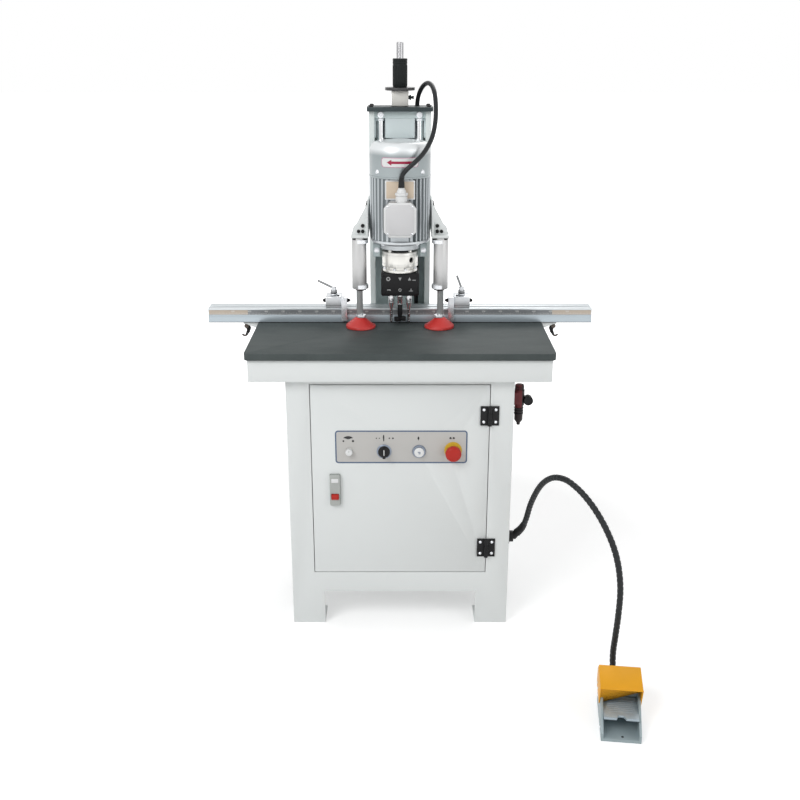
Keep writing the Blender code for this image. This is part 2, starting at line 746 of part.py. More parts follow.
def build_cabinet():
    """The welded cabinet: shell, floor, door opening and four angle legs."""
    sides = (-CABINET_SIDE, CABINET_SIDE)
    ends = (CABINET_FRONT, CABINET_REAR)
    inner_x = (SHEET - CABINET_SIDE, CABINET_SIDE - SHEET)
    inner_y = (CABINET_FRONT + SHEET, CABINET_REAR - SHEET)
    opening_x = (-DOOR_SIDE - DOOR_GAP, DOOR_SIDE + DOOR_GAP)
    cabinet = box("cabinet", sides, ends, (FLOOR, CABINET_TOP), WHITE_PAINT)
    between_x = (LEG_WIDTH - CABINET_SIDE, CABINET_SIDE - LEG_WIDTH)
    between_y = (CABINET_FRONT + LEG_WIDTH, CABINET_REAR - LEG_WIDTH)
    past_x = (-CABINET_SIDE - OVERRUN, CABINET_SIDE + OVERRUN)
    past_y = (CABINET_FRONT - OVERRUN, CABINET_REAR + OVERRUN)
    below = (FLOOR - OVERRUN, CABINET_FLOOR)
    cut(cabinet,
        box("cabinet_room", inner_x, inner_y, (CABINET_FLOOR + SHEET, CABINET_TOP - SHEET)),
        box("leg_room", inner_x, inner_y, (FLOOR + SHEET, CABINET_FLOOR)),
        box("leg_gap_front", between_x, past_y, below),
        box("leg_gap_side", past_x, between_y, below),
        box("door_opening", opening_x, (CABINET_FRONT - OVERRUN, CABINET_FRONT + DOOR_THICK),
            (DOOR_BASE - DOOR_GAP, DOOR_TOP + DOOR_GAP)))


def build_board():
    """The board inside: contactor, transformer, terminals and valves on one plate."""
    rear = CABINET_REAR - SHEET - FIT
    face = rear - BOARD_THICK
    top = CABINET_TOP - BOARD_DROP
    across = around(0, BOARD_WIDTH)
    board = box("control_board", across, (face, rear), (top - BOARD_HEIGHT, top), BOARD_FINISH)
    # Each device: centre across, width, depth, top and bottom, as shares of the board
    device_shares = ((-0.30, 0.22, 0.16, 0.06, 0.32), (0.02, 0.26, 0.19, 0.06, 0.36),
                     (0.33, 0.20, 0.13, 0.06, 0.28), (0.0, 0.86, 0.08, 0.44, 0.54),
                     (-0.22, 0.40, 0.12, 0.64, 0.86), (0.26, 0.30, 0.15, 0.62, 0.88))
    for index, (place_share, width_share, depth_share, top_share, base_share) in enumerate(device_shares):
        join(board, box("device_%d" % index,
                        around(place_share * BOARD_WIDTH, width_share * BOARD_WIDTH),
                        (face - depth_share * BOARD_WIDTH, face + BOARD_THICK / 2),
                        (top - base_share * BOARD_HEIGHT, top - top_share * BOARD_HEIGHT)))


def build_hinge(label, centre):
    """One four-hole hinge: the frame leaf with its pin, and the door leaf."""
    face = CABINET_FRONT - FIT
    leaf_y = (face - HINGE_LEAF_THICK, face)
    heights = around(centre, HINGE_HEIGHT)
    middle = around(centre, HINGE_HEIGHT / 3)
    axis_low = Vector((HINGE_X, HINGE_Y, heights[0]))
    axis_high = Vector((HINGE_X, HINGE_Y, heights[1]))
    inner_low = Vector((HINGE_X, HINGE_Y, middle[0]))
    inner_high = Vector((HINGE_X, HINGE_Y, middle[1]))
    clear = HINGE_BARREL_RADIUS + SLIDE
    end_gap = Vector((0, 0, SLIDE))
    run_out = Vector((0, 0, OVERRUN))

    frame = box("hinge_%s_frame_leaf" % label, (HINGE_X + SLIDE, HINGE_X + HINGE_LEAF), leaf_y, heights,
                BLACK_METAL)
    cut(frame, bar("frame_relief_%s" % label, inner_low, inner_high, clear, sides=SMALL_SIDES))
    join(frame,
         bar("frame_knuckle_low_%s" % label, axis_low, inner_low, HINGE_BARREL_RADIUS, sides=SMALL_SIDES),
         bar("frame_knuckle_high_%s" % label, inner_high, axis_high, HINGE_BARREL_RADIUS, sides=SMALL_SIDES),
         bar("hinge_pin_%s" % label, axis_low + end_gap, axis_high - end_gap, HINGE_PIN_RADIUS,
             sides=SMALL_SIDES))

    door = box("hinge_%s_door_leaf" % label, (HINGE_X - HINGE_LEAF, HINGE_X - SLIDE), leaf_y, heights,
               BLACK_METAL)
    cut(door,
        bar("door_relief_low_%s" % label, axis_low - run_out, inner_low + end_gap, clear, sides=SMALL_SIDES),
        bar("door_relief_high_%s" % label, inner_high - end_gap, axis_high + run_out, clear,
            sides=SMALL_SIDES))
    join(door, bar("door_knuckle_%s" % label, inner_low + end_gap, inner_high - end_gap,
                   HINGE_BARREL_RADIUS, sides=SMALL_SIDES))
    cut(door, bar("door_pin_bore_%s" % label, axis_low - run_out, axis_high + run_out,
                  HINGE_PIN_RADIUS + SLIDE, sides=SMALL_SIDES))
    return door


def build_door():
    """The door pan with its hinges, latch and controls."""
    face = CABINET_FRONT
    left = -DOOR_SIDE
    door = box("door", (-DOOR_SIDE, DOOR_SIDE), (face, face + DOOR_THICK), (DOOR_BASE, DOOR_TOP),
               WHITE_PAINT)
    cut(door, box("door_hollow", (SHEET - DOOR_SIDE, DOOR_SIDE - SHEET),
                  (face + SHEET, face + DOOR_THICK + OVERRUN), (DOOR_BASE + SHEET, DOOR_TOP - SHEET)))
    base = face - FIT
    back = (0, -1, 0)

    delay = turned("delay_knob", [(0, DELAY_LENGTH), (DELAY_RADIUS - EDGE, DELAY_LENGTH),
                                  (DELAY_RADIUS, DELAY_LENGTH - EDGE), (DELAY_RADIUS, 0), (0, 0)],
                   (left + DELAY_PLACE, base, CONTROL_Z), WHITE_PLASTIC, SMALL_SIDES, direction=back)
    selector_x = left + SELECTOR_PLACE
    selector = turned("selector_switch",
                      [(0, SELECTOR_BASE), (SELECTOR_RADIUS - EDGE, SELECTOR_BASE),
                       (SELECTOR_RADIUS, SELECTOR_BASE - EDGE), (SELECTOR_RADIUS, 0), (0, 0)],
                      (selector_x, base, CONTROL_Z), BLACK_PLASTIC, SIDES, direction=back)
    join(selector, box("selector_grip", around(selector_x, SELECTOR_GRIP_WIDTH),
                       (base - SELECTOR_BASE - SELECTOR_GRIP, base - SELECTOR_BASE / 2),
                       around(CONTROL_Z, SELECTOR_RADIUS * 2 - EDGE * 4)))

    start_x = left + START_PLACE
    stem_end = face + STEM_INSIDE
    start_back = face - BUTTON_STAND
    start = turned("start_button", pushed(BUTTON_RADIUS, BUTTON_HEAD, BUTTON_STEM_RADIUS,
                                          stem_end - start_back),
                   (start_x, start_back, CONTROL_Z), WHITE_PLASTIC, SIDES, direction=back)
    stop_x = left + STOP_PLACE
    stop_back = face - MUSHROOM_STAND
    mushroom = turned("emergency_stop", pushed(MUSHROOM_RADIUS, MUSHROOM_HEAD, MUSHROOM_STEM_RADIUS,
                                               stem_end - stop_back, domed=True),
                      (stop_x, stop_back, CONTROL_Z), RED_PLASTIC, SIDES, direction=back)
    for name, x, radius in (("start_hole", start_x, BUTTON_STEM_RADIUS),
                            ("stop_hole", stop_x, MUSHROOM_STEM_RADIUS)):
        cut(door, bar(name, (x, face - OVERRUN, CONTROL_Z), (x, face + DOOR_THICK, CONTROL_Z),
                      radius + FIT, sides=SIDES))

    latch_x = left + LATCH_PLACE
    latch_z = DOOR_TOP - LATCH_DROP
    latch_front = base - LATCH_THICK
    key_z = latch_z - LATCH_KEY_RISE
    latch = box("door_latch", around(latch_x, LATCH_WIDTH), (latch_front, base),
                around(latch_z, LATCH_HEIGHT), GREY_PLASTIC)
    cut(latch, box("latch_window", around(latch_x, LATCH_KEY_WIDTH + 2 * SLIDE),
                   (latch_front - OVERRUN, latch_front + LATCH_POCKET),
                   around(key_z, LATCH_KEY_HEIGHT + 2 * SLIDE)))
    soften(latch, EDGE)
    key = box("latch_button", around(latch_x, LATCH_KEY_WIDTH),
              (latch_front - LATCH_KEY_PROUD, latch_front + LATCH_POCKET / 2),
              around(key_z, LATCH_KEY_HEIGHT), RED_PLASTIC, EDGE / 2)

    leaves = [build_hinge("upper", DOOR_TOP - HINGE_UPPER_DROP),
              build_hinge("lower", DOOR_BASE + HINGE_LOWER_RISE)]
    pivot = carry("door_pivot", (HINGE_X, HINGE_Y, (DOOR_TOP + DOOR_BASE) / 2), [door, latch] + leaves)
    for name, piece in (("delay_axis", delay), ("selector_axis", selector), ("start_axis", start),
                        ("stop_axis", mushroom), ("latch_axis", key)):
        carry(name, piece.location, [piece], pivot)


def pushed(radius, head, stem_radius, stem, domed=False):
    """The profile of a push button: its head at the front, and its stem behind."""
    crown = head * MUSHROOM_CROWN_SHARE if domed else EDGE
    shoulder = radius * MUSHROOM_SHOULDER_SHARE if domed else radius - EDGE
    return [(0, head), (shoulder, head), (radius, head - crown), (radius, 0), (stem_radius, 0),
            (stem_radius, -stem), (0, -stem)]


def build_column():
    """The channel column with its foot flange and the web that holds the rods."""
    side, inner = COLUMN_SIDE, COLUMN_INNER
    floor = COLUMN_REAR - COLUMN_BACK
    section = [(-side, COLUMN_START), (-inner, COLUMN_START), (-inner, floor), (inner, floor),
               (inner, COLUMN_START), (side, COLUMN_START), (side, COLUMN_REAR), (-side, COLUMN_REAR)]
    height = COLUMN_TOP - FIT
    column = plate("column", [section], height, FACE_UP, (0, 0, FIT + height / 2), GREY_PAINT)
    flange_y = (COLUMN_START, COLUMN_START + COLUMN_FLANGE_DEPTH)
    web_y = (WEB_FRONT, WEB_FRONT + WEB_DEPTH)
    web_z = (COLUMN_TOP - WEB_HEIGHT, COLUMN_TOP)
    lower_z = (LOWER_BAR_BASE, LOWER_BAR_BASE + LOWER_BAR_HEIGHT)
    web_x = (-inner - COLUMN_CHEEK / 2, inner + COLUMN_CHEEK / 2)
    join(column,
         box("column_flange", around(0, COLUMN_FLANGE_WIDTH), flange_y, (FIT, FIT + COLUMN_FLANGE_THICK)),
         box("column_web", web_x, web_y, web_z),
         box("column_lower_bar", web_x, web_y, lower_z))
    for sign in (-1, 1):
        rod_hole(column, "web_rod_hole", sign * ROD_X, ROD_RADIUS + FIT, web_z)
        rod_hole(column, "bar_rod_hole", sign * ROD_X, ROD_RADIUS + FIT, lower_z)
    rod_hole(column, "web_neck_hole", 0, LIFT_NECK_RADIUS + FIT, web_z, LIFT_Y)
    cut(column, bar("column_cable_hole", (CABLE_HOLE_X, CABLE_HOLE_Y, -OVERRUN),
                    (CABLE_HOLE_X, CABLE_HOLE_Y, COLUMN_TOP + OVERRUN), CABLE_RADIUS + CABLE_HOLE_CLEAR,
                    sides=SMALL_SIDES))


def rod_hole(piece, name, x, radius, zs, y=ROD_Y):
    """A vertical hole for a guide rod, or for the lift rod at its own y."""
    cut(piece, bar(name, (x, y, zs[0] - OVERRUN), (x, y, zs[1] + OVERRUN), radius, sides=SIDES))


def build_guides():
    """Guide rods between the column's web and its lower bar, and the top plate."""
    for sign, side in ((-1, "left"), (1, "right")):
        bar("guide_rod_" + side, (sign * ROD_X, ROD_Y, LOWER_BAR_BASE), (sign * ROD_X, ROD_Y, COLUMN_TOP),
            ROD_RADIUS, CHROME)
    top_z = (TOP_PLATE_BASE, TOP_PLATE_TOP)
    top = box("top_plate", around(0, TOP_PLATE_WIDTH), (TOP_PLATE_REAR - TOP_PLATE_DEPTH, TOP_PLATE_REAR),
              top_z, DARK_STEEL)
    rod_hole(top, "plate_rod_hole", 0, LIFT_ROD_RADIUS + FIT, top_z, LIFT_Y)
    cut(top, bar("plate_cable_hole", (CABLE_HOLE_X, CABLE_HOLE_Y, top_z[0] - OVERRUN),
                 (CABLE_HOLE_X, CABLE_HOLE_Y, top_z[1] + OVERRUN), CABLE_RADIUS + CABLE_HOLE_CLEAR,
                 sides=SMALL_SIDES))


def build_lift():
    """The lift cylinder, the stroke stop above it, and the rod with its sleeve."""
    base, top = LIFT_BASE, COLUMN_TOP - WEB_HEIGHT - FIT
    bore = LIFT_RADIUS - LIFT_WALL
    rod_bore = LIFT_ROD_RADIUS + FIT
    cylinder = [(LIFT_NECK_RADIUS, COLUMN_TOP), (LIFT_NECK_RADIUS, top), (LIFT_RADIUS, top),
                (LIFT_RADIUS, base), (rod_bore, base), (rod_bore, base + LIFT_CAP),
                (bore, base + LIFT_CAP), (bore, top - LIFT_CAP), (rod_bore, top - LIFT_CAP),
                (rod_bore, COLUMN_TOP)]
    turned("lift_cylinder", cylinder, (0, LIFT_Y, 0), CAST_ALUMINIUM, closed=True)
    body_top = STROKE_BASE + STOP_BODY_HEIGHT
    stop = [(STOP_PLATE_RADIUS, STROKE_TOP), (STOP_PLATE_RADIUS, body_top), (STOP_BODY_RADIUS, body_top),
            (STOP_BODY_RADIUS, STROKE_BASE), (rod_bore, STROKE_BASE), (rod_bore, STROKE_TOP)]
    turned("stroke_stop", stop, (0, LIFT_Y, 0), CREAM_PLASTIC, closed=True)

    piston = base + LIFT_CAP + PISTON_RISE
    shoulder = LUG_TOP + FIT
    rod = [(0, LIFT_ROD_TOP), (LIFT_ROD_RADIUS - EDGE, LIFT_ROD_TOP),
           (LIFT_ROD_RADIUS, LIFT_ROD_TOP - EDGE), (LIFT_ROD_RADIUS, piston + PISTON_THICK),
           (bore - FIT, piston + PISTON_THICK), (bore - FIT, piston), (LIFT_ROD_RADIUS, piston),
           (LIFT_ROD_RADIUS, shoulder + LIFT_SHOULDER_HEIGHT),
           (LIFT_SHOULDER_RADIUS, shoulder + LIFT_SHOULDER_HEIGHT), (LIFT_SHOULDER_RADIUS, shoulder),
           (LIFT_ROD_RADIUS, shoulder), (LIFT_ROD_RADIUS, LUG_BASE), (0, LUG_BASE)]
    lift_rod = turned("lift_rod", rod, (0, LIFT_Y, 0), STEEL)
    sleeve_base = STROKE_TOP + FIT
    sleeve = turned("stroke_sleeve", ring(SLEEVE_RADIUS, rod_bore, sleeve_base, sleeve_base + SLEEVE_HEIGHT),
                    (0, LIFT_Y, 0), BLACK_RUBBER, closed=True)
    return lift_rod, sleeve


def build_carriage():
    """The sliding plate with its bush blocks, rod lug and the arms beside the bell."""
    carriage = box("carriage", around(0, CARRIAGE_WIDTH), (CARRIAGE_FRONT, CARRIAGE_REAR),
                   (CARRIAGE_BASE, CARRIAGE_BASE + CARRIAGE_HEIGHT), GREY_PAINT)
    bush_z = (CARRIAGE_BASE + BUSH_RISE, CARRIAGE_BASE + BUSH_RISE + BUSH_HEIGHT)
    overlap = CARRIAGE_THICK / 2
    for sign in (-1, 1):
        arm_inner = BELL_BOSS_RADIUS + FIT
        join(carriage,
             box("bush_block", around(sign * ROD_X, 2 * BUSH_HALF_WIDTH),
                 (CARRIAGE_REAR - overlap, CARRIAGE_REAR + BUSH_DEPTH), bush_z),
             box("bell_arm", (sign * arm_inner, sign * (arm_inner + ARM_WIDTH)),
                 (COLUMN_START - ARM_REACH, COLUMN_START - SLIDE), (ARM_BASE, ARM_BASE + ARM_HEIGHT)))
        rod_hole(carriage, "bush_bore", sign * ROD_X, ROD_RADIUS + SLIDE, bush_z)
    join(carriage, box("rod_lug", around(0, LUG_WIDTH),
                       (CARRIAGE_REAR - overlap, CARRIAGE_REAR + LUG_DEPTH), (LUG_BASE, LUG_TOP)))
    rod_hole(carriage, "lug_bore", 0, LIFT_ROD_RADIUS + FIT, (LUG_BASE, LUG_TOP), LIFT_Y)
    return carriage


def fin_outline():
    """The plan of the finned motor body, each fin a block on the core's circle."""
    core = MOTOR_RADIUS - FIN_DEPTH
    pitch = 2 * math.pi / FIN_COUNT
    points = []
    for fin in range(FIN_COUNT):
        for share, radius in zip(FIN_SHARES, (core, MOTOR_RADIUS, MOTOR_RADIUS, core)):
            angle = (fin + share) * pitch
            points.append((radius * math.cos(angle), radius * math.sin(angle)))
    return points


def build_motor():
    """The finned housing, end bell, cowl, rotor with fan, terminal box and its gland."""
    housing = plate("motor_housing", [fin_outline()], MOTOR_HEIGHT, FACE_UP,
                    (0, 0, MOTOR_BASE + MOTOR_HEIGHT / 2), CAST_ALUMINIUM)
    past = (MOTOR_BASE - OVERRUN, MOTOR_TOP + OVERRUN)
    foot_z = around(MOTOR_BASE + MOTOR_HEIGHT / 2, MOTOR_FOOT_HEIGHT)
    cut(housing, box("motor_flat", (-MOTOR_RADIUS, MOTOR_RADIUS), (-MOTOR_RADIUS - OVERRUN, -MOTOR_FLAT),
                     past))
    join(housing, box("motor_foot", around(0, MOTOR_FOOT_WIDTH),
                      (MOTOR_FOOT_ROOT, CARRIAGE_FRONT - FIT), foot_z))
    cut(housing, bar("motor_bore", (0, 0, past[0]), (0, 0, past[1]), MOTOR_BORE, sides=FINE_SIDES))

    bell_top = MOTOR_BASE - FIT
    rim = bell_top - BELL_RIM
    boss_top = BELL_BASE + BELL_BOSS_HEIGHT
    bell = turned("end_bell", [(MOTOR_RADIUS, bell_top), (MOTOR_RADIUS, rim), (BELL_BOSS_RADIUS, boss_top),
                               (BELL_BOSS_RADIUS, BELL_BASE), (BELL_BORE, BELL_BASE),
                               (BELL_BORE, bell_top)],
                  (0, 0, 0), CAST_ALUMINIUM, FINE_SIDES, closed=True)

    cowl_top = COWL_BASE + COWL_HEIGHT
    edge = COWL_BASE
    dome = [(COWL_TOP_RADIUS + (COWL_RADIUS - COWL_TOP_RADIUS) * math.sin(math.radians(turn)),
             cowl_top - COWL_DOME + COWL_DOME * math.cos(math.radians(turn)))
            for turn in (0, 22.5, 45, 67.5, 90)]
    inner = [(radius - COWL_WALL, height - COWL_WALL) for radius, height in reversed(dome)]
    cowl_profile = [(0, cowl_top)] + dome + [(COWL_RADIUS, edge), (COWL_RADIUS - COWL_WALL, edge)]
    cowl = turned("fan_cowl", cowl_profile + inner + [(0, cowl_top - COWL_WALL)], (0, 0, 0),
                  CAST_ALUMINIUM, FINE_SIDES)
    for step in range(VENT_COUNT):
        angle = 2 * math.pi * (step + VENT_TURN_SHARE) / VENT_COUNT
        x, y = VENT_RING * math.cos(angle), VENT_RING * math.sin(angle)
        cut(cowl, bar("vent", (x, y, cowl_top - OVERRUN), (x, y, cowl_top + OVERRUN), VENT_RADIUS,
                      sides=SMALL_SIDES // 2))

    core_top = ROTOR_CORE_BASE + ROTOR_CORE_HEIGHT
    rotor = turned("motor_rotor",
                   [(0, SHAFT_TOP), (SHAFT_RADIUS, SHAFT_TOP), (SHAFT_RADIUS, FAN_BASE + FAN_HEIGHT),
                    (FAN_HUB_RADIUS, FAN_BASE + FAN_HEIGHT), (FAN_HUB_RADIUS, FAN_BASE + FAN_DISC),
                    (FAN_RADIUS, FAN_BASE + FAN_DISC), (FAN_RADIUS, FAN_BASE), (SHAFT_RADIUS, FAN_BASE),
                    (SHAFT_RADIUS, core_top), (ROTOR_RADIUS, core_top), (ROTOR_RADIUS, ROTOR_CORE_BASE),
                    (SHAFT_RADIUS, ROTOR_CORE_BASE), (SHAFT_RADIUS, SHAFT_BASE), (0, SHAFT_BASE)],
                   (0, 0, 0), STEEL)
    for step in range(FAN_BLADE_PAIRS):
        blade = box("fan_blade", around(0, 2 * (FAN_RADIUS - EDGE)), around(0, FAN_BLADE),
                    (FAN_BASE + FAN_DISC / 2, FAN_BASE + FAN_HEIGHT - EDGE))
        blade.rotation_euler.z = math.pi * (step + FAN_TURN_SHARE) / FAN_BLADE_PAIRS
        join(rotor, blade)

    half_x, half_z, chamfer = TERMINAL_WIDTH / 2, TERMINAL_HEIGHT / 2, TERMINAL_CHAMFER
    octagon = [(half_x - chamfer, -half_z), (half_x, chamfer - half_z), (half_x, half_z - chamfer),
               (half_x - chamfer, half_z), (chamfer - half_x, half_z), (-half_x, half_z - chamfer),
               (-half_x, chamfer - half_z), (chamfer - half_x, -half_z)]
    terminal = plate("terminal_box", [octagon], TERMINAL_DEPTH, FACE_FRONT,
                     (0, TERMINAL_FRONT + TERMINAL_DEPTH / 2, TERMINAL_BASE + half_z), CAST_ALUMINIUM)
    soften(terminal, EDGE)
    gland = turned("terminal_gland",
                   [(0, GLAND_HEIGHT), (CABLE_RADIUS + EDGE, GLAND_HEIGHT),
                    (GLAND_DOME_RADIUS, GLAND_HEIGHT - GLAND_DOME), (GLAND_DOME_RADIUS, GLAND_HEX_HEIGHT),
                    (GLAND_HEX_RADIUS, GLAND_HEX_HEIGHT), (GLAND_HEX_RADIUS, 0), (0, 0)],
                   (GLAND_PLACE, GLAND_Y, GLAND_BASE), WHITE_PLASTIC, 12)
    return [housing, bell, cowl, terminal, gland], [rotor]


def build_housing():
    """The spindle housing between the end bell and the gear head."""
    flange_top = HOUSING_BASE + HOUSING_FLANGE
    neck_top = flange_top + HOUSING_NECK
    bore_base = CUP_BASE - HOUSING_FLANGE / 2
    housing = turned("spindle_housing",
                     [(HOUSING_RADIUS, HOUSING_TOP), (HOUSING_RADIUS, neck_top),
                      (HOUSING_NECK_RADIUS, neck_top), (HOUSING_NECK_RADIUS, flange_top),
                      (HOUSING_FLANGE_RADIUS, flange_top), (HOUSING_FLANGE_RADIUS, HOUSING_BASE),
                      (JOURNAL_RADIUS + FIT, HOUSING_BASE), (JOURNAL_RADIUS + FIT, bore_base),
                      (HOUSING_BORE, bore_base), (HOUSING_BORE, HOUSING_TOP)],
                     (0, 0, 0), CAST_ALUMINIUM, FINE_SIDES, closed=True)
    for step in range(POST_COUNT):
        angle = 2 * math.pi * (step + 0.5) / POST_COUNT
        x, y = POST_RING * math.cos(angle), POST_RING * math.sin(angle)
        join(housing, bar("housing_post", (x, y, HOUSING_TOP - OVERRUN), (x, y, BELL_BASE - FIT),
                          POST_RADIUS, sides=SMALL_SIDES // 2))
    outward = Vector((math.sin(HOUSING_HOLE_TURN), -math.cos(HOUSING_HOLE_TURN), 0))
    middle = Vector((0, 0, (HOUSING_TOP + neck_top) / 2))
    cut(housing, bar("housing_hole", middle + outward * (HOUSING_RADIUS - HOUSING_HOLE_DEPTH),
                     middle + outward * (HOUSING_RADIUS + OVERRUN), HOUSING_HOLE_RADIUS,
                     sides=SMALL_SIDES))
    return housing


def side_place(sign):
    """Where a side spindle stands, from the boring axis."""
    return sign * SIDE_PITCH / 2, -SIDE_OFFSET


def build_gear_head():
    """The gear head, its three geared spindles, the hinge bit and the side drills."""
    head = box("gear_head", around(0, HEAD_WIDTH), around(0, HEAD_DEPTH), (HEAD_BASE, HEAD_TOP),
               BLACK_METAL, HEAD_ROUND)
    cut(head, box("head_room", around(0, HEAD_WIDTH - 2 * HEAD_WALL), around(0, HEAD_DEPTH - 2 * HEAD_WALL),
                  (HEAD_BASE + HEAD_FLOOR, HEAD_TOP + OVERRUN)))
    bores = [(0, 0, JOURNAL_RADIUS)] + [(*side_place(sign), SIDE_SHAFT_RADIUS) for sign in (-1, 1)]
    for x, y, radius in bores:
        cut(head, bar("head_bore", (x, y, HEAD_BASE - OVERRUN), (x, y, HEAD_BASE + HEAD_FLOOR + OVERRUN),
                      radius + FIT, sides=SIDES))

    gear_top = GEAR_BASE + GEAR_HEIGHT
    cup_bore = SHAFT_RADIUS + FIT
    cup_floor = CUP_BASE + CUP_FLOOR
    bit_bore = BIT_SHANK_RADIUS + FIT
    bore_top = CHUCK_BASE + CHUCK_BORE_DEPTH
    spindle = turned("centre_spindle",
                     [(0, cup_floor), (cup_bore, cup_floor), (cup_bore, CUP_TOP), (CUP_RADIUS, CUP_TOP),
                      (CUP_RADIUS, CUP_BASE), (SPINDLE_RADIUS, CUP_BASE), (SPINDLE_RADIUS, gear_top),
                      (GEAR_RADIUS, gear_top), (GEAR_RADIUS, GEAR_BASE), (JOURNAL_RADIUS, GEAR_BASE),
                      (JOURNAL_RADIUS, HEAD_BASE - FIT), (CHUCK_RADIUS, HEAD_BASE - SLIDE),
                      (CHUCK_RADIUS, CHUCK_BASE), (bit_bore, CHUCK_BASE), (bit_bore, bore_top),
                      (0, bore_top)],
                     (0, 0, 0), STEEL)
    cutter_top = BIT_TIP + BIT_SPUR + BIT_CUTTER_HEIGHT
    bit = turned("hinge_bit",
                 [(0, bore_top - SLIDE), (BIT_SHANK_RADIUS, bore_top - SLIDE),
                  (BIT_SHANK_RADIUS, BIT_NECK_TOP), (BIT_NECK_RADIUS, BIT_NECK_TOP),
                  (BIT_NECK_RADIUS, cutter_top), (BIT_CUTTER_RADIUS, cutter_top),
                  (BIT_CUTTER_RADIUS, BIT_TIP + BIT_SPUR), (BIT_SPUR, BIT_TIP + BIT_SPUR), (0, BIT_TIP)],
                 (0, 0, 0), BLACK_METAL)
    notch_x = (BIT_NECK_RADIUS, BIT_CUTTER_RADIUS + OVERRUN)
    notch_z = (BIT_TIP - OVERRUN, cutter_top + OVERRUN)
    cut(bit, box("chip_gap_right", notch_x, (0, BIT_NOTCH), notch_z),
        box("chip_gap_left", (-notch_x[1], -notch_x[0]), (-BIT_NOTCH, 0), notch_z))

    sides = []
    for sign, side in ((-1, "left"), (1, "right")):
        chuck_low = HEAD_BASE - SIDE_CHUCK_HEIGHT
        cone_low = chuck_low - SIDE_CONE_HEIGHT
        x, y = side_place(sign)
        sides.append(turned("side_spindle_" + side,
                            [(0, gear_top + GEAR_HEIGHT), (SIDE_SHAFT_RADIUS, gear_top + GEAR_HEIGHT),
                             (SIDE_SHAFT_RADIUS, gear_top), (GEAR_RADIUS, gear_top),
                             (GEAR_RADIUS, GEAR_BASE), (SIDE_SHAFT_RADIUS, GEAR_BASE),
                             (SIDE_SHAFT_RADIUS, HEAD_BASE - SLIDE), (SIDE_CHUCK_RADIUS, HEAD_BASE - SLIDE),
                             (SIDE_CHUCK_RADIUS, chuck_low), (DRILL_RADIUS, cone_low),
                             (DRILL_RADIUS, BIT_TIP + DRILL_POINT), (0, BIT_TIP)],
                            (x, y, 0), STEEL))
    return head, [spindle, bit], sides


def build_head():
    """Everything that slides down the guide rods to bore."""
    lift_rod, sleeve = build_lift()
    carriage = build_carriage()
    fixed, turning = build_motor()
    housing = build_housing()
    gear_head, centre, sides = build_gear_head()
    slide = carry("head_slide", (0, LIFT_Y, LUG_TOP), [lift_rod, carriage, housing, gear_head] + fixed)
    carry("spindle_axis", (0, 0, HEAD_BASE), turning + centre, slide)
    carry("sleeve_slide", (0, LIFT_Y, STROKE_TOP), [sleeve], slide)
    for sign, piece in zip((-1, 1), sides):
        carry(piece.name + "_axis", (*side_place(sign), HEAD_BASE), [piece], slide)


def build_clamp(sign, side):
    """One workpiece clamp: bracket on the column, air cylinder, rod and rubber foot."""
    inner = COLUMN_SIDE + FIT
    outer = CLAMP_X + CLAMP_RADIUS + FIT
    base = BRACKET_BASE
    arm_front = CLAMP_Y - BRACKET_FRONT
    arm_rear = COLUMN_REAR - SHEET
    nose_top = base + BRACKET_ARM_NOSE
    arm = [(arm_front, base), (arm_rear, base), (arm_rear, BRACKET_TOP), (BRACKET_SLOPE_END, BRACKET_TOP),
           (arm_front, nose_top)]
    bracket = plate("clamp_bracket_" + side, [arm], BRACKET_SHEET, FACE_SIDE,
                    (sign * (inner + BRACKET_SHEET / 2), 0, 0), WHITE_PAINT)
    gusset_top = inner + BRACKET_SHEET
    gusset = [(inner, base), (outer, base), (outer, base + BRACKET_TIP), (gusset_top, BRACKET_TOP),
              (inner, BRACKET_TOP)]
    if sign < 0:
        gusset = [(-x, z) for x, z in reversed(gusset)]
    join(bracket,
         box("bracket_shelf", (sign * inner, sign * outer), (arm_front, CLAMP_Y + CLAMP_RADIUS),
             (base, base + BRACKET_SHELF)),
         plate("bracket_gusset", [gusset], BRACKET_SHEET, FACE_FRONT, (0, CLAMP_Y, 0)))

    bore = CLAMP_RADIUS - CLAMP_WALL
    hole = CLAMP_ROD_RADIUS + FIT
    low = CLAMP_BASE + CLAMP_CAP
    high = CLAMP_TOP - CLAMP_CAP
    at = (sign * CLAMP_X, CLAMP_Y, 0)
    turned("clamp_cylinder_" + side,
           [(0, CLAMP_TOP), (CLAMP_RADIUS, CLAMP_TOP), (CLAMP_RADIUS, CLAMP_BASE), (hole, CLAMP_BASE),
            (hole, low), (bore, low), (bore, high), (0, high)],
           at, ALUMINIUM)
    piston = low + CLAMP_PISTON_RISE
    rod_base = FOOT_TOP + FIT
    rod = turned("clamp_rod_" + side,
                 [(0, piston + CLAMP_PISTON_THICK), (bore - FIT, piston + CLAMP_PISTON_THICK),
                  (bore - FIT, piston), (CLAMP_ROD_RADIUS, piston), (CLAMP_ROD_RADIUS, rod_base),
                  (0, rod_base)],
                 at, CHROME)
    foot = turned("clamp_foot_" + side,
                  [(0, FOOT_TOP), (FOOT_NECK_RADIUS, FOOT_TOP), (FOOT_RADIUS, FIT + FOOT_RIM),
                   (FOOT_RADIUS, FIT), (0, FIT)],
                  at, RED_RUBBER)
    carry("clamp_slide_" + side, (sign * CLAMP_X, CLAMP_Y, CLAMP_BASE), [rod, foot])


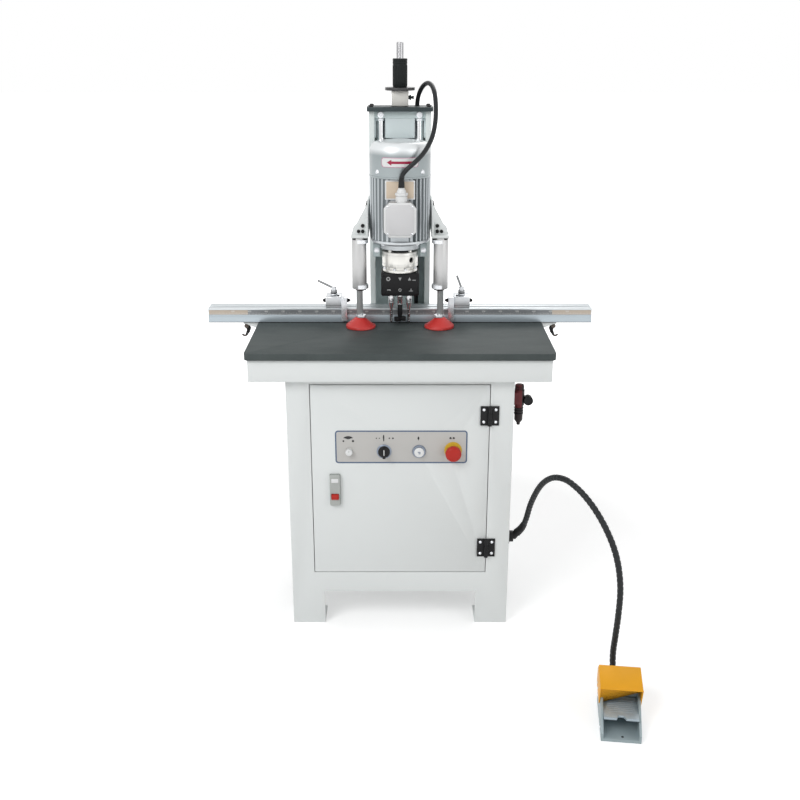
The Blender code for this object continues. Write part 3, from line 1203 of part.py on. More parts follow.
def build_rail():
    """The extruded fence rail: front groove for the scale, top slot and hollow core."""
    front, rear, base, top = RAIL_FRONT, RAIL_REAR, RAIL_BASE, RAIL_TOP
    groove = (RAIL_GROOVE_BASE, RAIL_GROOVE_BASE + RAIL_GROOVE_HEIGHT)
    slot = around(front + RAIL_SLOT_PLACE, RAIL_SLOT_WIDTH)
    slot_inner = around(front + RAIL_SLOT_PLACE, RAIL_SLOT_INNER)
    lip = top - RAIL_SLOT_LIP
    slot_floor = top - RAIL_SLOT_DEPTH
    section = [(front, base), (rear, base), (rear, top), (slot[1], top), (slot[1], lip),
               (slot_inner[1], lip), (slot_inner[1], slot_floor), (slot_inner[0], slot_floor),
               (slot_inner[0], lip), (slot[0], lip), (slot[0], top), (front, top), (front, groove[1]),
               (front + RAIL_GROOVE_DEPTH, groove[1]), (front + RAIL_GROOVE_DEPTH, groove[0]),
               (front, groove[0])]
    wall = RAIL_WALL
    core = [(front + wall, base + wall), (rear - wall, base + wall), (rear - wall, slot_floor - wall),
            (front + wall, slot_floor - wall)]
    plate("fence_rail", [section, core], RAIL_LENGTH, FACE_SIDE, (0, 0, 0), ALUMINIUM)


def build_rail_bracket(sign, side):
    """An angle bracket on the table's edge that carries the overhanging rail."""
    start = TABLE_WIDTH / 2 + FIT
    wall = RAIL_BRACKET_SHEET
    ys = (RAIL_FRONT + RAIL_BRACKET_INSET, RAIL_REAR - RAIL_BRACKET_INSET)
    low = -RAIL_BRACKET_DROP
    corner = [(start, 0), (start, low), (start + wall, low), (start + wall, -RAIL_BRACKET_ROOT),
              (start + RAIL_BRACKET_REACH - wall, -wall), (start + RAIL_BRACKET_REACH, -wall),
              (start + RAIL_BRACKET_REACH, 0)]
    if sign > 0:
        corner = corner[::-1]
    corner = [(sign * x, z) for x, z in corner]
    plate("rail_bracket_" + side, [corner], ys[1] - ys[0], FACE_FRONT, (0, (ys[0] + ys[1]) / 2, 0),
          WHITE_PAINT)


def build_stop(sign, side, inner, reach):
    """A sliding stop: block on the rail, flip-up blade in front, clamping lever on top."""
    outer = inner + sign * STOP_WIDTH
    middle = (inner + outer) / 2
    block = box("stop_block_" + side, (inner, outer), (RAIL_FRONT, RAIL_REAR), (STOP_BASE, STOP_TOP),
                ALUMINIUM, EDGE)
    blade_x = (inner - sign * FIT, inner - sign * (FIT + STOP_BLADE_WIDTH))
    pin_end = inner + sign * STOP_PIN_LENGTH
    pin_start = inner - sign * STOP_BLADE_WIDTH / 2
    cut(block, bar("stop_pin_hole", (inner - sign * OVERRUN, STOP_PIVOT_Y, STOP_PIVOT_Z),
                   (pin_end + sign * SLIDE, STOP_PIVOT_Y, STOP_PIVOT_Z), STOP_PIN_RADIUS + FIT,
                   sides=SMALL_SIDES))
    blade_front = RAIL_FRONT - FIT - STOP_BLADE_THICK
    hub_low = STOP_PIVOT_Z - STOP_PIVOT_RADIUS
    outline = [(blade_front, STOP_BLADE_BASE), (RAIL_FRONT - FIT, STOP_BLADE_BASE),
               (RAIL_FRONT - FIT, hub_low), (STOP_PIVOT_Y, hub_low)]
    for turn in (-60, -30, 0, 30, 60, 90):
        angle = math.radians(turn)
        outline.append((STOP_PIVOT_Y + STOP_PIVOT_RADIUS * math.cos(angle),
                        STOP_PIVOT_Z + STOP_PIVOT_RADIUS * math.sin(angle)))
    outline.append((blade_front, STOP_TOP))
    blade = plate("stop_plate_" + side, [outline], STOP_BLADE_WIDTH, FACE_SIDE,
                  ((blade_x[0] + blade_x[1]) / 2, 0, 0), STEEL)
    join(blade, bar("stop_pin", (pin_start, STOP_PIVOT_Y, STOP_PIVOT_Z),
                    (pin_end, STOP_PIVOT_Y, STOP_PIVOT_Z), STOP_PIN_RADIUS, sides=SMALL_SIDES))

    hub_base = STOP_TOP + FIT
    hub_top = hub_base + LEVER_HUB_HEIGHT
    ring_top = hub_top + LEVER_RING_HEIGHT
    lever = turned("stop_lever_" + side,
                   [(0, ring_top), (LEVER_RING_RADIUS - EDGE, ring_top),
                    (LEVER_RING_RADIUS, ring_top - EDGE), (LEVER_RING_RADIUS, hub_top),
                    (LEVER_HUB_RADIUS, hub_top - EDGE), (LEVER_HUB_RADIUS, hub_base), (0, hub_base)],
                   (middle, LEVER_Y, 0), BLACK_METAL, SMALL_SIDES)
    root = Vector((middle, LEVER_Y, ring_top - LEVER_RING_HEIGHT / 2))
    join(lever, bar("lever_arm", root, root + Vector(reach), LEVER_ARM_RADIUS, sides=SMALL_SIDES // 2))
    slide = carry("stop_slide_" + side, (middle, LEVER_Y, STOP_BASE), [block])
    carry("stop_pivot_" + side, (inner, STOP_PIVOT_Y, STOP_PIVOT_Z), [blade], slide)
    carry("lever_pivot_" + side, (middle, LEVER_Y, STOP_TOP), [lever], slide)


def build_air_unit():
    """The filter and regulator on the cabinet's right side, with its gauge."""
    wall = CABINET_SIDE + FIT
    top = CABINET_TOP - AIR_DROP
    low = top - AIR_HEIGHT
    bowl = (top + low) / 2
    unit = turned("air_unit",
                  [(0, top), (AIR_BOWL_RADIUS, top), (AIR_BOWL_RADIUS, top - AIR_RADIUS),
                   (AIR_RADIUS, top - AIR_RADIUS), (AIR_RADIUS, bowl), (AIR_BOWL_RADIUS, bowl - EDGE),
                   (AIR_BOWL_RADIUS, low + AIR_RADIUS), (AIR_DRAIN_RADIUS, low + AIR_DRAIN_RADIUS),
                   (AIR_DRAIN_RADIUS, low), (0, low)],
                  (AIR_X, AIR_Y, 0), BLACK_PLASTIC)
    plate_z = (bowl + AIR_DRAIN_RADIUS, bowl + AIR_PLATE_HEIGHT)
    gauge_z = top - GAUGE_DROP
    gauge_x = AIR_X + GAUGE_REACH
    gauge_back = AIR_Y + GAUGE_THICK * GAUGE_BACK_SHARE
    join(unit,
         box("air_plate", (wall, AIR_X), around(AIR_Y, AIR_PLATE_WIDTH), plate_z),
         bar("gauge_pipe", (AIR_X, AIR_Y, gauge_z), (gauge_x + PIPE_RADIUS, AIR_Y, gauge_z), PIPE_RADIUS,
             sides=SMALL_SIDES),
         bar("gauge_body", (gauge_x, gauge_back - GAUGE_THICK, gauge_z),
             (gauge_x, gauge_back, gauge_z), GAUGE_RADIUS, sides=SIDES))


def build_hose():
    """The foot hose and the angled gland that it leaves the cabinet by."""
    route = [HOSE_START] + [Vector(point) for point in HOSE_ROUTE]
    route += [hose_end(HOSE_LEAD), hose_end(HOSE_LEAD / 2), hose_end(0)]
    path = smooth_route(route, HOSE_STEP)
    away = (path[1] - path[0]).normalized()
    seat = HOSE_START - away * FIT
    root = seat - away * ELBOW_LENGTH
    wall = CABINET_SIDE + FIT
    gland = bar("hose_gland", (wall, root.y, root.z), (wall + GLAND_BASE_HEIGHT, root.y, root.z),
                GLAND_BASE_RADIUS, BLACK_PLASTIC, 12)
    join(gland, bar("gland_elbow", root, seat, ELBOW_RADIUS, sides=SMALL_SIDES,
                    end_radius=HOSE_RADIUS + EDGE))
    tube("foot_hose", path, HOSE_RADIUS, BLACK_RUBBER)


def pedal_point(across, along, up):
    """A point of the pedal, from its front edge on the floor, in world space."""
    turn = Matrix.Rotation(PEDAL_TURN, 3, "Z")
    return Vector((*PEDAL_PLACE, FLOOR)) + turn @ Vector((across, along, up))


def hose_end(before):
    """Where the hose meets the pedal's rear face, or a point straight before it."""
    return pedal_point(0, PEDAL_LENGTH + FIT + before, HOSE_RADIUS + FIT)


def build_pedal():
    """The pedal: cast base with its valve block, treadle on a pin, and hood.

    It is made about the world's origin, and then stood in its place with its cutters."""
    made_before = set(bpy.data.objects)
    side = PEDAL_WIDTH / 2
    valve = PEDAL_LENGTH - PEDAL_VALVE
    profile = [(0, 0), (PEDAL_LENGTH, 0), (PEDAL_LENGTH, PEDAL_VALVE_HEIGHT), (valve, PEDAL_VALVE_HEIGHT),
               (PEDAL_SLOPE, PEDAL_SHOULDER), (0, PEDAL_NOSE)]
    base = plate("pedal_base", [profile], PEDAL_WIDTH, FACE_SIDE, (0, 0, 0), PEDAL_GREY)
    inner = side - PEDAL_CHEEK
    cut(base, box("pedal_room", (-inner, inner), (-OVERRUN, valve),
                  (PEDAL_FLOOR, PEDAL_VALVE_HEIGHT + OVERRUN)))

    pivot_y = valve - TREADLE_PIVOT_RADIUS - SLIDE
    pivot_z = TREADLE_HEIGHT
    tread_x = inner - SLIDE
    nose_y = pivot_y - TREADLE_LENGTH
    rear_y = pivot_y - TREADLE_PIVOT_RADIUS / 2
    notch = TREADLE_NOTCH
    outline = [(-tread_x, nose_y), (-notch, nose_y), (-notch / 2, nose_y + notch),
               (notch / 2, nose_y + notch), (notch, nose_y), (tread_x, nose_y), (tread_x, rear_y),
               (-tread_x, rear_y)]
    treadle = plate("pedal_plate", [outline], TREADLE_THICK, FACE_UP, (0, 0, pivot_z), TREADLE_GREY)
    barrel_x = tread_x - EDGE
    join(treadle, bar("treadle_barrel", (-barrel_x, pivot_y, pivot_z), (barrel_x, pivot_y, pivot_z),
                      TREADLE_PIVOT_RADIUS, sides=SMALL_SIDES))
    pin_end = side - SLIDE
    join(treadle, bar("treadle_pin", (-pin_end, pivot_y, pivot_z), (pin_end, pivot_y, pivot_z),
                      TREADLE_PIN_RADIUS, sides=SMALL_SIDES))
    cut(base, bar("treadle_pin_hole", (-side - OVERRUN, pivot_y, pivot_z),
                  (side + OVERRUN, pivot_y, pivot_z), TREADLE_PIN_RADIUS + FIT, sides=SMALL_SIDES))

    hood_side = side + FIT + HOOD_WALL
    rear = PEDAL_LENGTH + HOOD_REAR
    front = rear - HOOD_LENGTH
    hood_profile = [(front, HOOD_HEIGHT - HOOD_SLOPE / 2), (rear - HOOD_SLOPE, HOOD_HEIGHT),
                    (rear, HOOD_HEIGHT - HOOD_SLOPE), (rear, HOOD_HEM), (front + HOOD_SLOPE, HOOD_HEM)]
    hood = plate("pedal_hood", [hood_profile[::-1]], 2 * hood_side, FACE_SIDE, (0, 0, 0), HOOD_YELLOW)
    wall = HOOD_WALL
    room = [(front - OVERRUN, HOOD_HEM - OVERRUN), (rear - wall, HOOD_HEM - OVERRUN),
            (rear - wall, HOOD_HEIGHT - HOOD_SLOPE - wall / 2),
            (rear - HOOD_SLOPE, HOOD_HEIGHT - wall), (front - OVERRUN, HOOD_HEIGHT - HOOD_SLOPE / 2 - wall)]
    cut(hood, plate("hood_room", [room], 2 * (side + FIT), FACE_SIDE, (0, 0, 0)))

    carry("treadle_axis", (0, pivot_y, pivot_z), [treadle])
    ground = bpy.data.objects.new("pedal_place", None)
    PARTS.objects.link(ground)
    ground.location = (*PEDAL_PLACE, FLOOR)
    ground.rotation_euler.z = PEDAL_TURN
    for made in set(bpy.data.objects) - made_before - {ground}:
        if not made.parent:
            made.parent = ground


def build_cable():
    """The motor cable: up inside the column, over the top plate, down to the gland."""
    start = Vector(CABLE_ROUTE[0])
    start.z = FIT
    end = Vector((GLAND_PLACE, GLAND_Y, GLAND_TOP + FIT))
    lead = Vector((0, 0, CABLE_LEAD))
    route = [start] + [Vector(point) for point in CABLE_ROUTE]
    route += [end + lead, end + lead / 2, end]
    tube("motor_cable", smooth_route(route, CABLE_STEP), CABLE_RADIUS, BLACK_RUBBER)


def main():
    build_table()
    build_apron()
    build_cabinet()
    build_board()
    build_door()
    build_column()
    build_guides()
    build_head()
    build_rail()
    for index, (sign, side) in enumerate(((-1, "left"), (1, "right"))):
        build_clamp(sign, side)
        build_rail_bracket(sign, side)
        build_stop(sign, side, STOP_INNER_PLACES[index], LEVER_REACHES[index])
    build_air_unit()
    build_hose()
    build_pedal()
    build_cable()


main()
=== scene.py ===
# Looks of the single-head hinge boring machine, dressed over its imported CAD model.
# Metres, in the CAD frame: the origin is on the table top, under the boring axis.

import math
from itertools import product

import bmesh
import bpy
from mathutils import Matrix, Vector


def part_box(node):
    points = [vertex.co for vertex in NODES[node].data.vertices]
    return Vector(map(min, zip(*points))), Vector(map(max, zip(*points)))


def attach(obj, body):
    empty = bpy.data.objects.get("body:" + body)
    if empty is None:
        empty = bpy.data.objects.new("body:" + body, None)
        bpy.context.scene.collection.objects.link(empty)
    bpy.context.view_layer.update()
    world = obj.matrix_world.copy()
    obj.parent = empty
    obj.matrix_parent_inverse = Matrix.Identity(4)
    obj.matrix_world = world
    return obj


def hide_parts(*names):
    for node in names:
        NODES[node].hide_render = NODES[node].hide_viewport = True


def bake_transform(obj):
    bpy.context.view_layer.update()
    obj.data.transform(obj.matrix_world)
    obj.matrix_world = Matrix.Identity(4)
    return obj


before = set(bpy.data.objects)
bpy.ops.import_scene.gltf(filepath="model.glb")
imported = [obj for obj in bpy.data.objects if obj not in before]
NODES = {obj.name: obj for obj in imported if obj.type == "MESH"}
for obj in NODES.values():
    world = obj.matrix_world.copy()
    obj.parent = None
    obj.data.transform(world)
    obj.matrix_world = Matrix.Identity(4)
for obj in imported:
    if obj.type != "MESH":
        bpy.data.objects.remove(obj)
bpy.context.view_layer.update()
SCENE = bpy.context.scene

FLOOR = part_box("cabinet")[0][2]
RIGHT, LEFT, FRONT, BACK, UP = (1, 0, 0), (-1, 0, 0), (0, -1, 0), (0, 1, 0), (0, 0, 1)
SIDES = ((-1, "left"), (1, "right"))

# Camera: a 46.8 mm lens, 1.66 m above the floor, pitched 19.3 degrees down
CAMERA_PLACE = (0.0, -3.0006, 0.8128)
CAMERA_PITCH = math.radians(19.3)
CAMERA_LENS = 46.8
FLOOR_REACH = 30.0
LAMPS = (("key", (-2.4, -3.2, 3.0), 2.2, 96.0), ("fill", (3.2, -2.6, 1.6), 2.6, 26.0),
         ("rim", (0.8, 3.4, 2.8), 2.0, 40.0))

# Foot hose: the same points as the CAD route
HOSE_RADIUS = 0.0085
HOSE_START = (0.347, -0.214, -0.58)
HOSE_ROUTE = (
    (0.36, -0.222, -0.56), (0.369, -0.239, -0.525), (0.378, -0.272, -0.455), (0.395, -0.32, -0.382),
    (0.418, -0.368, -0.337), (0.445, -0.415, -0.32), (0.472, -0.452, -0.328), (0.499, -0.483, -0.35),
    (0.525, -0.509, -0.383), (0.548, -0.53, -0.424), (0.566, -0.546, -0.468), (0.578, -0.559, -0.518),
    (0.583, -0.571, -0.576), (0.581, -0.578, -0.641), (0.577, -0.58, -0.705), (0.5755, -0.576, -0.745),
    (0.5755, -0.576, -0.775), (0.5755, -0.587, -0.806), (0.575, -0.606, -0.829),
)
HOSE_LEAD = 0.036
HOSE_STEP = 0.0022
WRAP_PITCH = 0.014
WRAP_BAND = 0.72
WRAP_DEPTH = 0.0011
PEDAL_PLACE = Vector((0.551, -0.836, FLOOR))
PEDAL_TURN = Matrix.Rotation(math.radians(-7.0), 3, "Z")
PEDAL_LENGTH = 0.172

# Motor cable: the same points as the CAD route
CABLE_RADIUS = 0.0065
CABLE_ROUTE = (
    (0.05, 0.1465, 0.0003), (0.05, 0.1465, 0.12), (0.05, 0.1465, 0.24), (0.05, 0.1465, 0.36),
    (0.05, 0.1465, 0.48), (0.05, 0.1465, 0.57), (0.05, 0.1465, 0.62), (0.054, 0.138, 0.65),
    (0.065, 0.117, 0.675), (0.079, 0.088, 0.686), (0.09, 0.056, 0.68), (0.097, 0.02, 0.66),
    (0.0995, -0.012, 0.625), (0.097, -0.04, 0.585), (0.087, -0.065, 0.546), (0.066, -0.087, 0.511),
    (0.042, -0.099, 0.487), (0.02, -0.102, 0.468), (0.008, -0.099, 0.453),
)
CABLE_STEP = 0.008
CABLE_LEAD = 0.02
RELIEF_GROOVE = 0.0006
FIT = 0.0003

# Places that several pieces share
MOTOR_FLAT = -0.076
SPINDLE_X, SPINDLE_Y = 0.026, -0.0055
ROD_X, ROD_Y = 0.056, 0.118
LIFT_Y = 0.13
CLAMP_X, CLAMP_Y = 0.114, -0.028
BRACKET_FRONT = -0.033
RAIL_CLAMP_X = 0.462
STOP_Y = 0.034
STOP_LEVER_Y = 0.0525
STOP_PIN_Z = 0.0663
CONTROL_LEVEL = -0.2961
DELAY_X, SELECTOR_X, START_X, EMERGENCY_X = -0.144, -0.045, 0.054, 0.15
HINGE_X = 0.251
AIR_AXIS = Vector((0.3383, -0.212, 0))
INK_DEPTH = 0.0003

# Each device on the electrical board: centre across, width, depth, top and bottom, as shares of the board
DEVICES = ((-0.30, 0.22, 0.16, 0.06, 0.32), (0.02, 0.26, 0.19, 0.06, 0.36), (0.33, 0.20, 0.13, 0.06, 0.28),
           (0.0, 0.86, 0.08, 0.44, 0.54), (-0.22, 0.40, 0.12, 0.64, 0.86), (0.26, 0.30, 0.15, 0.62, 0.88))
TERMINAL_STRIP = 3
BOARD_THICK = 0.004


# Node helpers for the procedural materials

def feed(tree, socket, value):
    """A socket takes another socket's output or a plain value; a colour may come in three parts."""
    if isinstance(value, bpy.types.NodeSocket):
        tree.links.new(value, socket)
    elif socket.type == "RGBA" and len(value) == 3:
        socket.default_value = (*value, 1.0)
    else:
        socket.default_value = value


def add(tree, kind, **inputs):
    """A shader node whose inputs are given by name, with underscores."""
    made = tree.nodes.new(kind)
    for name, value in inputs.items():
        feed(tree, made.inputs[name.replace("_", " ")], value)
    return made


def maths(tree, operation, *values):
    made = tree.nodes.new("ShaderNodeMath")
    made.operation = operation
    for socket, value in zip(made.inputs, values):
        feed(tree, socket, value)
    return made.outputs[0]


def blend(tree, factor, low, high):
    """The colour between two colours."""
    made = tree.nodes.new("ShaderNodeMix")
    made.data_type = "RGBA"
    for place, value in ((0, factor), (6, low), (7, high)):
        feed(tree, made.inputs[place], value)
    return made.outputs[2]


def spread(tree, value, low, high):
    """A 0 to 1 value taken to another range."""
    return add(tree, "ShaderNodeMapRange", Value=value, To_Min=low, To_Max=high).outputs[0]


def shade(colour, scale):
    return tuple(min(1.0, part * scale) for part in colour)


def places(tree, stretch=(1, 1, 1)):
    """Object coordinates in metres, stretched for a grain."""
    coordinates = tree.nodes.new("ShaderNodeTexCoord").outputs["Object"]
    return add(tree, "ShaderNodeMapping", Vector=coordinates, Scale=stretch).outputs[0]


def noise(tree, place, scale, detail=3.0, roughness=0.55):
    return add(tree, "ShaderNodeTexNoise", Vector=place, Scale=scale, Detail=detail, Roughness=roughness).outputs[0]


def axis_of(tree, axis):
    """One object coordinate in metres."""
    split = tree.nodes.new("ShaderNodeSeparateXYZ")
    tree.links.new(tree.nodes.new("ShaderNodeTexCoord").outputs["Object"], split.inputs[0])
    return split.outputs[axis]


def above(tree, axis, level):
    return maths(tree, "GREATER_THAN", axis_of(tree, axis), level)


def below(tree, axis, level):
    return maths(tree, "LESS_THAN", axis_of(tree, axis), level)


def reach_of(tree):
    """The distance from the vertical axis."""
    squares = [maths(tree, "POWER", axis_of(tree, axis), 2.0) for axis in (0, 1)]
    return maths(tree, "SQRT", maths(tree, "ADD", *squares))


def surface(name, colour, roughness, metallic=0.0, mottle=0.05, clouds=9.0, grain=0.0, grit=700.0,
            stretch=(1, 1, 1), gloss_spread=0.06, coat=0.0, shine=0.5, change=None):
    """A finish with mottled colour, uneven gloss and a fine grain in the bump."""
    material = bpy.data.materials.new(name)
    material.use_nodes = True
    tree = material.node_tree
    shader = tree.nodes["Principled BSDF"]
    shader.inputs["Metallic"].default_value = metallic
    shader.inputs["Coat Weight"].default_value = coat
    shader.inputs["Specular IOR Level"].default_value = shine
    place = places(tree, stretch)
    cloud = noise(tree, place, clouds)
    fine = noise(tree, place, grit, 2.0)
    tint = blend(tree, cloud, shade(colour, 1 - mottle), shade(colour, 1 + mottle))
    if change:
        tint = change(tree, tint)
    rough = spread(tree, cloud, roughness - gloss_spread, roughness + gloss_spread)
    tree.links.new(tint, shader.inputs["Base Color"])
    tree.links.new(rough, shader.inputs["Roughness"])
    if grain:
        bump = add(tree, "ShaderNodeBump", Height=fine, Strength=grain, Distance=0.0006)
        tree.links.new(bump.outputs[0], shader.inputs["Normal"])
    return material


def past(axis, level, colour):
    """Another colour past a level along one axis."""
    return lambda tree, tint: blend(tree, above(tree, axis, level), tint, colour)


def fin_groove_shade(tree, tint):
    """Painted shade: dark grooves between the motor's cooling fins."""
    fin_shade_mask = maths(tree, "MULTIPLY", maths(tree, "LESS_THAN", reach_of(tree), 0.0842), above(tree, 1, -0.0755))
    return blend(tree, fin_shade_mask, tint, (0.16, 0.18, 0.19))


def cowl_dome_highlight(tree, tint):
    """A painted highlight: the cowl's dome is painted paler than its skirt, for the light it catches from above."""
    dome = add(tree, "ShaderNodeMapRange", Value=axis_of(tree, 2), From_Min=0.5, From_Max=0.516).outputs[0]
    return blend(tree, dome, tint, (0.84, 0.87, 0.88))


def air_change(tree, tint):
    """The filter bowl's dark red upper half."""
    high = maths(tree, "MULTIPLY", above(tree, 2, -0.185), below(tree, 0, 0.345))
    return blend(tree, high, tint, (0.12, 0.012, 0.016))


def drill_change(tree, tint):
    """A steel drill with dark spiral flutes below the bright chuck."""
    height = maths(tree, "MULTIPLY", axis_of(tree, 2), 2 * math.pi / 0.012)
    turned = maths(tree, "ADD", height, maths(tree, "MULTIPLY", axis_of(tree, 0), 900.0))
    flute = maths(tree, "GREATER_THAN", maths(tree, "SINE", turned), 0.1)
    spiral = blend(tree, flute, (0.34, 0.30, 0.31), (0.07, 0.06, 0.06))
    return blend(tree, below(tree, 2, 0.0505), tint, spiral)


def rail_band_and_shadow_line(tree, tint):
    """The rail's pale blue lower band, and a painted shadow line at its foot where it meets the table."""
    tint = blend(tree, maths(tree, "MULTIPLY", below(tree, 2, 0.0245), 0.75), tint, (0.36, 0.43, 0.48))
    return blend(tree, below(tree, 2, 0.0022), tint, (0.03, 0.03, 0.03))


def treadle_change(tree, tint):
    """Worn bright metal where a shoe rubs."""
    worn = maths(tree, "GREATER_THAN", noise(tree, places(tree, (1, 3, 1)), 60.0), 0.58)
    return blend(tree, maths(tree, "MULTIPLY", worn, 0.35), tint, (0.62, 0.68, 0.70))


def table_change(tree, tint):
    """Pale dust and scuffs on the dark laminate."""
    dust = noise(tree, places(tree, (2.0, 5.0, 1.0)), 3.2, 6.0, 0.7)
    dust = maths(tree, "MULTIPLY", spread(tree, dust, -0.35, 0.85), 0.30)
    return blend(tree, maths(tree, "MAXIMUM", dust, 0.0), tint, (0.22, 0.25, 0.24))


def thread_groove_shade(tree, tint):
    """Painted shade: dark lines for the thread grooves on the exposed top of the lift rod."""
    wave = maths(tree, "SINE", maths(tree, "MULTIPLY", axis_of(tree, 2), 2 * math.pi / 0.0025))
    line = maths(tree, "MULTIPLY", above(tree, 2, 0.66), maths(tree, "GREATER_THAN", wave, 0.25))
    return blend(tree, line, tint, (0.14, 0.14, 0.15))


def board_change(tree, tint):
    """Dark device housings and a pale terminal strip before the board."""
    strip = maths(tree, "MULTIPLY", above(tree, 2, -0.4215), below(tree, 2, -0.3765))
    housing = blend(tree, strip, (0.13, 0.14, 0.145), (0.55, 0.55, 0.51))
    return blend(tree, below(tree, 1, 0.186), tint, housing)


def ruler_change(tree, tint):
    """Millimetre marks along X, longer at each fifth and tenth, and brown ends."""
    x, z = axis_of(tree, 0), axis_of(tree, 2)
    marks = None
    for pitch, width, reach in ((0.001, 0.22, 0.003), (0.005, 0.055, 0.0048), (0.010, 0.035, 0.0068)):
        cycle = maths(tree, "FRACT", maths(tree, "DIVIDE", maths(tree, "ADD", x, 5.0), pitch))
        line = maths(tree, "MULTIPLY", maths(tree, "LESS_THAN", cycle, width),
                     maths(tree, "LESS_THAN", z, 0.0252 + reach))
        marks = line if marks is None else maths(tree, "MAXIMUM", marks, line)
    ends = maths(tree, "GREATER_THAN", maths(tree, "ABSOLUTE", x), 0.455)
    return blend(tree, marks, blend(tree, ends, tint, (0.50, 0.43, 0.36)), (0.75, 0.75, 0.74))


# Paints; the column is teal-grey inside, behind its front cheeks, which are painted paler: partly their own paint,
# partly painted light on the faces that catch the lamps
WHITE = surface("white_enamel", (0.79, 0.82, 0.815), 0.40, mottle=0.025, clouds=3.0, grain=0.05, grit=1100.0, coat=0.15)
COLUMN_PAINT = surface("column_enamel", (0.76, 0.82, 0.81), 0.42, mottle=0.03, clouds=4.0, grain=0.08,
                       change=past(1, 0.0935, (0.66, 0.76, 0.76)))
LIFT_COVER = surface("lift_cover_enamel", (0.66, 0.74, 0.75), 0.42, mottle=0.04, grain=0.08)
TEAL = surface("teal_enamel", (0.55, 0.64, 0.65), 0.45, grain=0.08)
YELLOW = surface("orange_enamel", (0.88, 0.41, 0.018), 0.45, mottle=0.10, clouds=16.0, grain=0.3, grit=350.0,
                 shine=0.22)
LAMINATE = surface("dark_laminate", (0.048, 0.060, 0.060), 0.62, mottle=0.18, clouds=6.0, grain=0.25, grit=1500.0,
                   shine=0.3, change=table_change)
# Metals
DARK_PLATE = surface("blackened_plate", (0.035, 0.048, 0.052), 0.50, mottle=0.25, clouds=40.0, grain=0.2, shine=0.3)
ROD = surface("ground_rod", (0.66, 0.68, 0.68), 0.24, 0.55, mottle=0.04, clouds=30.0, stretch=(1, 1, 0.1))
LEVER = surface("lever_black", (0.010, 0.010, 0.011), 0.40, 0.2, mottle=0.1, clouds=60.0, shine=0.3,
                change=past(2, 0.0872, (0.40, 0.41, 0.42)))
CHROME = surface("hard_chrome", (0.78, 0.79, 0.80), 0.14, 1.0, mottle=0.04, clouds=30.0, stretch=(1, 1, 0.1),
                 gloss_spread=0.04)
STEEL = surface("turned_steel", (0.56, 0.56, 0.57), 0.27, 1.0, mottle=0.10, clouds=60.0, grain=0.12, grit=900.0,
                stretch=(0.05, 0.05, 1))
LIFT_STEEL = surface("threaded_steel", (0.60, 0.60, 0.61), 0.25, 1.0, mottle=0.08, change=thread_groove_shade)
DRILL_STEEL = surface("chuck_steel", (0.62, 0.62, 0.63), 0.20, 1.0, mottle=0.08, change=drill_change)
RAIL = surface("anodised_rail", (0.66, 0.70, 0.72), 0.34, 0.45, mottle=0.10, clouds=30.0, grain=0.10, grit=500.0,
               stretch=(0.02, 1, 1), change=rail_band_and_shadow_line)
RULER = surface("steel_ruler", (0.21, 0.22, 0.23), 0.45, 0.2, mottle=0.12, clouds=20.0, change=ruler_change)
ALUMINIUM = surface("drawn_aluminium", (0.56, 0.56, 0.56), 0.42, 0.70, mottle=0.08, clouds=80.0, grain=0.10,
                    stretch=(1, 1, 0.03))
BLOCK = surface("milled_aluminium", (0.72, 0.74, 0.76), 0.36, 0.7, mottle=0.06, clouds=50.0, grain=0.15)
CAST = surface("cast_aluminium", (0.60, 0.63, 0.65), 0.42, 0.65, mottle=0.07, clouds=14.0, grain=0.35, grit=420.0)
WARM_CAST = surface("warm_casting", (0.66, 0.66, 0.67), 0.48, 0.1, clouds=14.0, grain=0.35, grit=420.0, shine=0.35)
FINS = surface("finned_casting", (0.47, 0.50, 0.52), 0.42, 0.65, mottle=0.07, clouds=14.0, grain=0.35, grit=420.0,
               change=fin_groove_shade)
COWL = surface("pressed_cowl", (0.33, 0.37, 0.38), 0.34, 0.45, clouds=8.0, grain=0.06, change=cowl_dome_highlight)
BEARING = surface("machined_housing", (0.80, 0.79, 0.75), 0.30, 0.55, clouds=20.0, grain=0.10, stretch=(1, 1, 0.1))
BLACK = surface("black_oxide", (0.009, 0.009, 0.010), 0.45, mottle=0.30, clouds=60.0, grain=0.15, shine=0.22)
BRASS = surface("brass_fitting", (0.62, 0.45, 0.20), 0.30, 0.9, mottle=0.08, clouds=60.0)
PALE_METAL = surface("pale_plated", (0.80, 0.82, 0.85), 0.28, 0.6, clouds=40.0)
PLATE_BEIGE = surface("beige_plate", (0.66, 0.55, 0.43), 0.40, 0.2, clouds=40.0)
BRONZE = surface("brown_hook", (0.07, 0.055, 0.045), 0.40, 0.3, mottle=0.2, clouds=60.0)
BEZEL = surface("bezel_grey", (0.25, 0.29, 0.36), 0.35, 0.5, mottle=0.06)
PEDAL = surface("pedal_casting", (0.33, 0.40, 0.42), 0.45, 0.35, mottle=0.12, clouds=22.0, grain=0.45, grit=500.0)
TREADLE = surface("pedal_treadle", (0.40, 0.48, 0.53), 0.42, 0.35, mottle=0.10, clouds=30.0, grain=0.4,
                  change=treadle_change)
